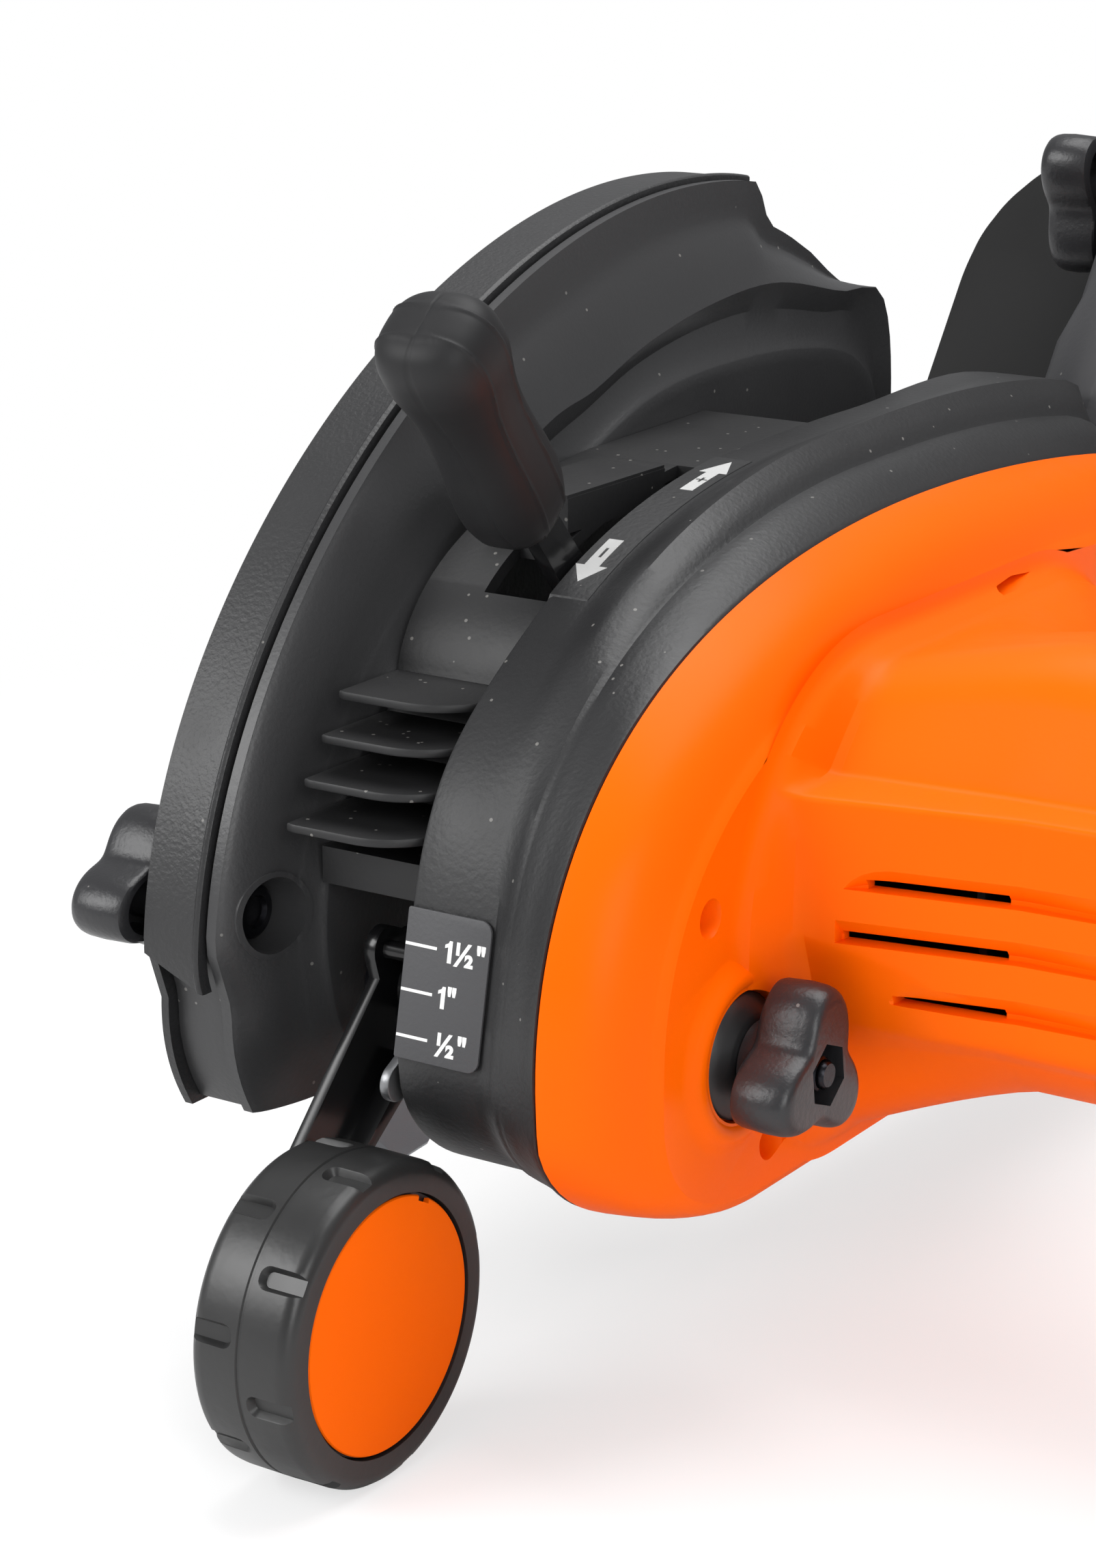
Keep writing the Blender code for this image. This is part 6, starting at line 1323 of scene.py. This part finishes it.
pry_notch = [Vector(FRONT_AXLE) + pry * a + pry_side * b for a, b in
             ((0.0288, -0.0022), (0.0330, -0.0024), (0.0330, 0.0024), (0.0288, 0.0022))]
combine(cap, "DIFFERENCE", slab("pry_notch", 0.010, 0.020, pry_notch), solver="EXACT")
fit(cap, disc_orange, "front_wheel", "front_wheel_cap")


# Rear wheels and axle.
# Two plain rubber tyres on solid orange hubs, which turn on a headed steel rod. The rod runs in a
# tube welded to a pressed leg on the housing, and a pressed on cap holds it.
REAR_WHEEL_R = 0.050
REAR_AXLE = (0.370, REAR_WHEEL_R)
half_hub = [(-0.0140, BORE_R), (-0.0140, 0.0110), (-0.0120, 0.0125), (-0.0112, 0.0290), (-0.0135, 0.0312),
            (-0.0140, 0.0334), (-0.0134, 0.0340)]
for hand, middle in (("left", -0.050), ("right", 0.100)):
    fit(tyre(f"rear_tyre_{hand}_moulding", REAR_WHEEL_R, 0.030, 0.0343, REAR_AXLE, middle, 0), tyre_rubber,
        "rear_wheel_" + hand, "rear_tyre_" + hand)
    fit(turned(f"rear_hub_{hand}_moulding", half_hub + mirrored(half_hub), REAR_AXLE, 96, middle),
        disc_orange, "rear_wheel_" + hand, "rear_hub_" + hand)
fit(turned("axle_turned", [(-0.0698, 0.0), (-0.0698, 0.0050), (-0.0690, 0.0062), (-0.0664, 0.0080),
                           (-0.0658, 0.0080), (-0.0658, 0.0040), (0.1210, 0.0040), (0.1215, 0.0035),
                           (0.1215, 0.0)], REAR_AXLE, 48),
    zinc_steel, "frame", "rear_axle")
fit(turned("axle_cap_drawn", [(0.1235, 0.0), (0.1235, 0.0062), (0.1226, 0.0075), (0.1158, 0.0084),
                              (0.1158, BORE_R), (0.1218, BORE_R), (0.1218, 0.0)], REAR_AXLE, 48), black_oxide,
    "frame", "axle_cap")
dress("axle_bracket", gloss_enamel, "frame", 0.0005)


# Shaft socket and debris shield.
# A grey nylon socket saddles the back of the head, with a knob through it and the tube. A soft
# black shield hangs behind the blade from a pad on it.

# Dry and a touch lighter than the blacks round it.
grey_nylon = finish("moulded_grey_nylon", "#3a3a3c", 0.46, grain_mm=0.8, relief=0.25, dust=0.01)
# Dark, with hardly any glare on its wide face.
shield_plastic = finish("pressed_black_polythene", "#191919", 0.50, specular=0.22, grain_mm=1.4, relief=0.14,
                        mottle=0.05)
SHAFT_X = 0.024
SHAFT_FOOT = (0.0, 0.345, 0.180)
SHAFT_LEAN = radians(-36)
SOCKET_KNOB_UP = 0.084
leaning = Matrix.Translation(SHAFT_FOOT) @ Matrix.Rotation(SHAFT_LEAN, 4, "X")
up_shaft = leaning @ Matrix.Translation((SHAFT_X, 0.0, 0.0)) @ Matrix.Rotation(radians(-90), 4, "Y")
dress("shaft_socket", grey_nylon, "frame", 0.0006, 45)
shield = dress("debris_shield", shield_plastic, "frame", 0, 45)
# The two upper corners of the sheet are cut round. Their edges run through its thickness.
CORNER_ROUND = 0.0055
UPPER_HALF = 0.060
through_shield = leaning.to_3x3() @ Vector((0.0, 1.0, 0.0))
bpy.ops.object.mode_set(mode="EDIT")
bpy.ops.mesh.select_mode(type="EDGE")
bpy.ops.mesh.select_all(action="DESELECT")
edit = bmesh.from_edit_mesh(shield.data)
for edge in edit.edges:
    run = (edge.verts[1].co - edge.verts[0].co).normalized()
    if (abs(run.dot(through_shield)) > 0.99 and edge.calc_face_angle(0.0) > radians(5)
            and (leaning.inverted() @ edge.verts[0].co).z > UPPER_HALF):
        edge.select_set(True)
bmesh.update_edit_mesh(shield.data)
bpy.ops.mesh.bevel(offset=CORNER_ROUND, segments=4, clamp_overlap=True)
bpy.ops.mesh.select_mode(type="VERT")
bpy.ops.object.mode_set(mode="OBJECT")
break_edges(shield, 0.0006, 2, 45)
bpy.ops.object.shade_smooth_by_angle(angle=radians(45))
socket_wings = knob("socket_wings", -0.0233, -1, (0.0, 0.0), radians(55), 0.019, 1.17)
stud = [(-0.0260, 0.0), (-0.0260, SCREW_R), (0.0190, SCREW_R), *threaded(0.0190, 0.0225, 1), (0.0227, 0.0028),
        (0.0227, 0.0)]
combine(socket_wings, "UNION", turned("socket_stud", stud, (0.0, 0.0), 48), solver="EXACT")
settle(socket_wings, leaning @ Matrix.Translation((SHAFT_X, 0.0, SOCKET_KNOB_UP)))
fit(socket_wings, knob_nylon, "socket_knob", "socket_knob", smooth=35)


# Tubes and their clamp.
# Two drawn steel tubes, one inside the other, enamelled black. A moulded collar with a slit and an
# orange cam lever grips the upper one.
fit(settle(turned("lower_tube_drawn", [(0.0320, 0.0125), (0.0320, 0.0137), (0.0323, 0.0140), (0.4797, 0.0140),
                                       (0.4800, 0.0137), (0.4800, 0.0125)], (0.0, 0.0), 72), up_shaft),
    gloss_enamel, "frame", "lower_tube")
fit(settle(turned("upper_tube_drawn", [(0.3400, 0.0107), (0.3400, 0.0119), (0.3403, 0.0122), (0.7887, 0.0122),
                                       (0.7890, 0.0119), (0.7890, 0.0107)], (0.0, 0.0), 72), up_shaft),
    gloss_enamel, "upper_shaft", "upper_tube")
dress("tube_clamp", satin_nylon, "frame", 0.0006, 45)
dress("clamp_lever", orange_abs, "clamp_lever", 0.0006, 35)


# Auxiliary handle.
# A D shaped loop in soft black plastic, which tilts in a saddle clamp on the lower tube and is held
# by a winged knob.
HANDLE_BAR_R = 0.0115
HANDLE_UP = 0.330
BAR_SIDES = 32
BAR_STEP = 0.004
loop_corners = [(SHAFT_X - 0.0710, -0.1700, 0.030), (SHAFT_X + 0.0710, -0.1700, 0.030),
                (SHAFT_X + 0.0560, -0.0700, 0.034), (SHAFT_X - 0.0560, -0.0700, 0.034)]
loop_path = rounded(loop_corners, 12)
spaced = []
for here, following in zip(loop_path, loop_path[1:] + loop_path[:1]):
    count = max(1, round((following - here).length / BAR_STEP))
    spaced += [here.lerp(following, step / count) for step in range(count)]
bar_rings = []
for index, here in enumerate(spaced):
    way = (spaced[(index + 1) % len(spaced)] - spaced[index - 1]).normalized()
    around = [toward(tau * step / BAR_SIDES) * HANDLE_BAR_R for step in range(BAR_SIDES)]
    bar_rings.append(([here.x + way.y * a.x for a in around],
                      [Vector((here.y - way.x * a.x, HANDLE_UP + a.y)) for a in around]))
loop = skin("handle_loop", bar_rings, closed=True)
TILT_AXIS = (-0.034, HANDLE_UP)
lug_outline = bar_outline(TILT_AXIS, (-0.068, HANDLE_UP), 0.0105, 0.0095)
combine(loop, "UNION", slab("handle_lug", SHAFT_X - 0.0080, SHAFT_X + 0.0080, lug_outline), solver="EXACT")
combine(loop, "DIFFERENCE", rod("lug_hole", SHAFT_X - 0.05, SHAFT_X + 0.05, BORE_R, TILT_AXIS),
        solver="EXACT")
settle(loop, leaning)
fit(loop, soft_pvc, "auxiliary_handle", "auxiliary_handle", smooth=40)
dress("handle_clamp", satin_nylon, "frame", 0.0005, 45)
handle_wings = knob("handle_wings", SHAFT_X + 0.0163, 1, (0.0, 0.0), radians(20), 0.020)
stud = [(0.0190, 0.0), (0.0190, SCREW_R), (-0.0140, SCREW_R), (-0.0157, 0.0028), (-0.0157, 0.0)]
combine(handle_wings, "UNION", turned("handle_stud", stud, (0.0, 0.0), 48, SHAFT_X), solver="EXACT")
settle(handle_wings, leaning @ Matrix.Translation((0.0, *TILT_AXIS)))
fit(handle_wings, knob_nylon, "handle_knob", "handle_knob", smooth=35)


# Rear handle.
# Two moulded halves screwed together round the upper tube, with an orange trigger and lock button,
# the switch behind them and the socket for the cord's plug.
for node in ("handle_shell_left", "handle_shell_right"):
    dress(node, satin_nylon, "upper_shaft", 0.0008, 40)
# Smooth black with small, sharp highlights.
switch_case = finish("black_switch_case", "#1a1a1b", 0.40, grain_mm=1.0, relief=0.10)
dress("power_switch", switch_case, "upper_shaft", 0.0004)
dress("inlet_socket", switch_case, "upper_shaft", 0.0004)
dress("trigger", orange_abs, "trigger", 0.0006, 35)
dress("lock_button", orange_abs, "lock_button", 0.0005, 35)
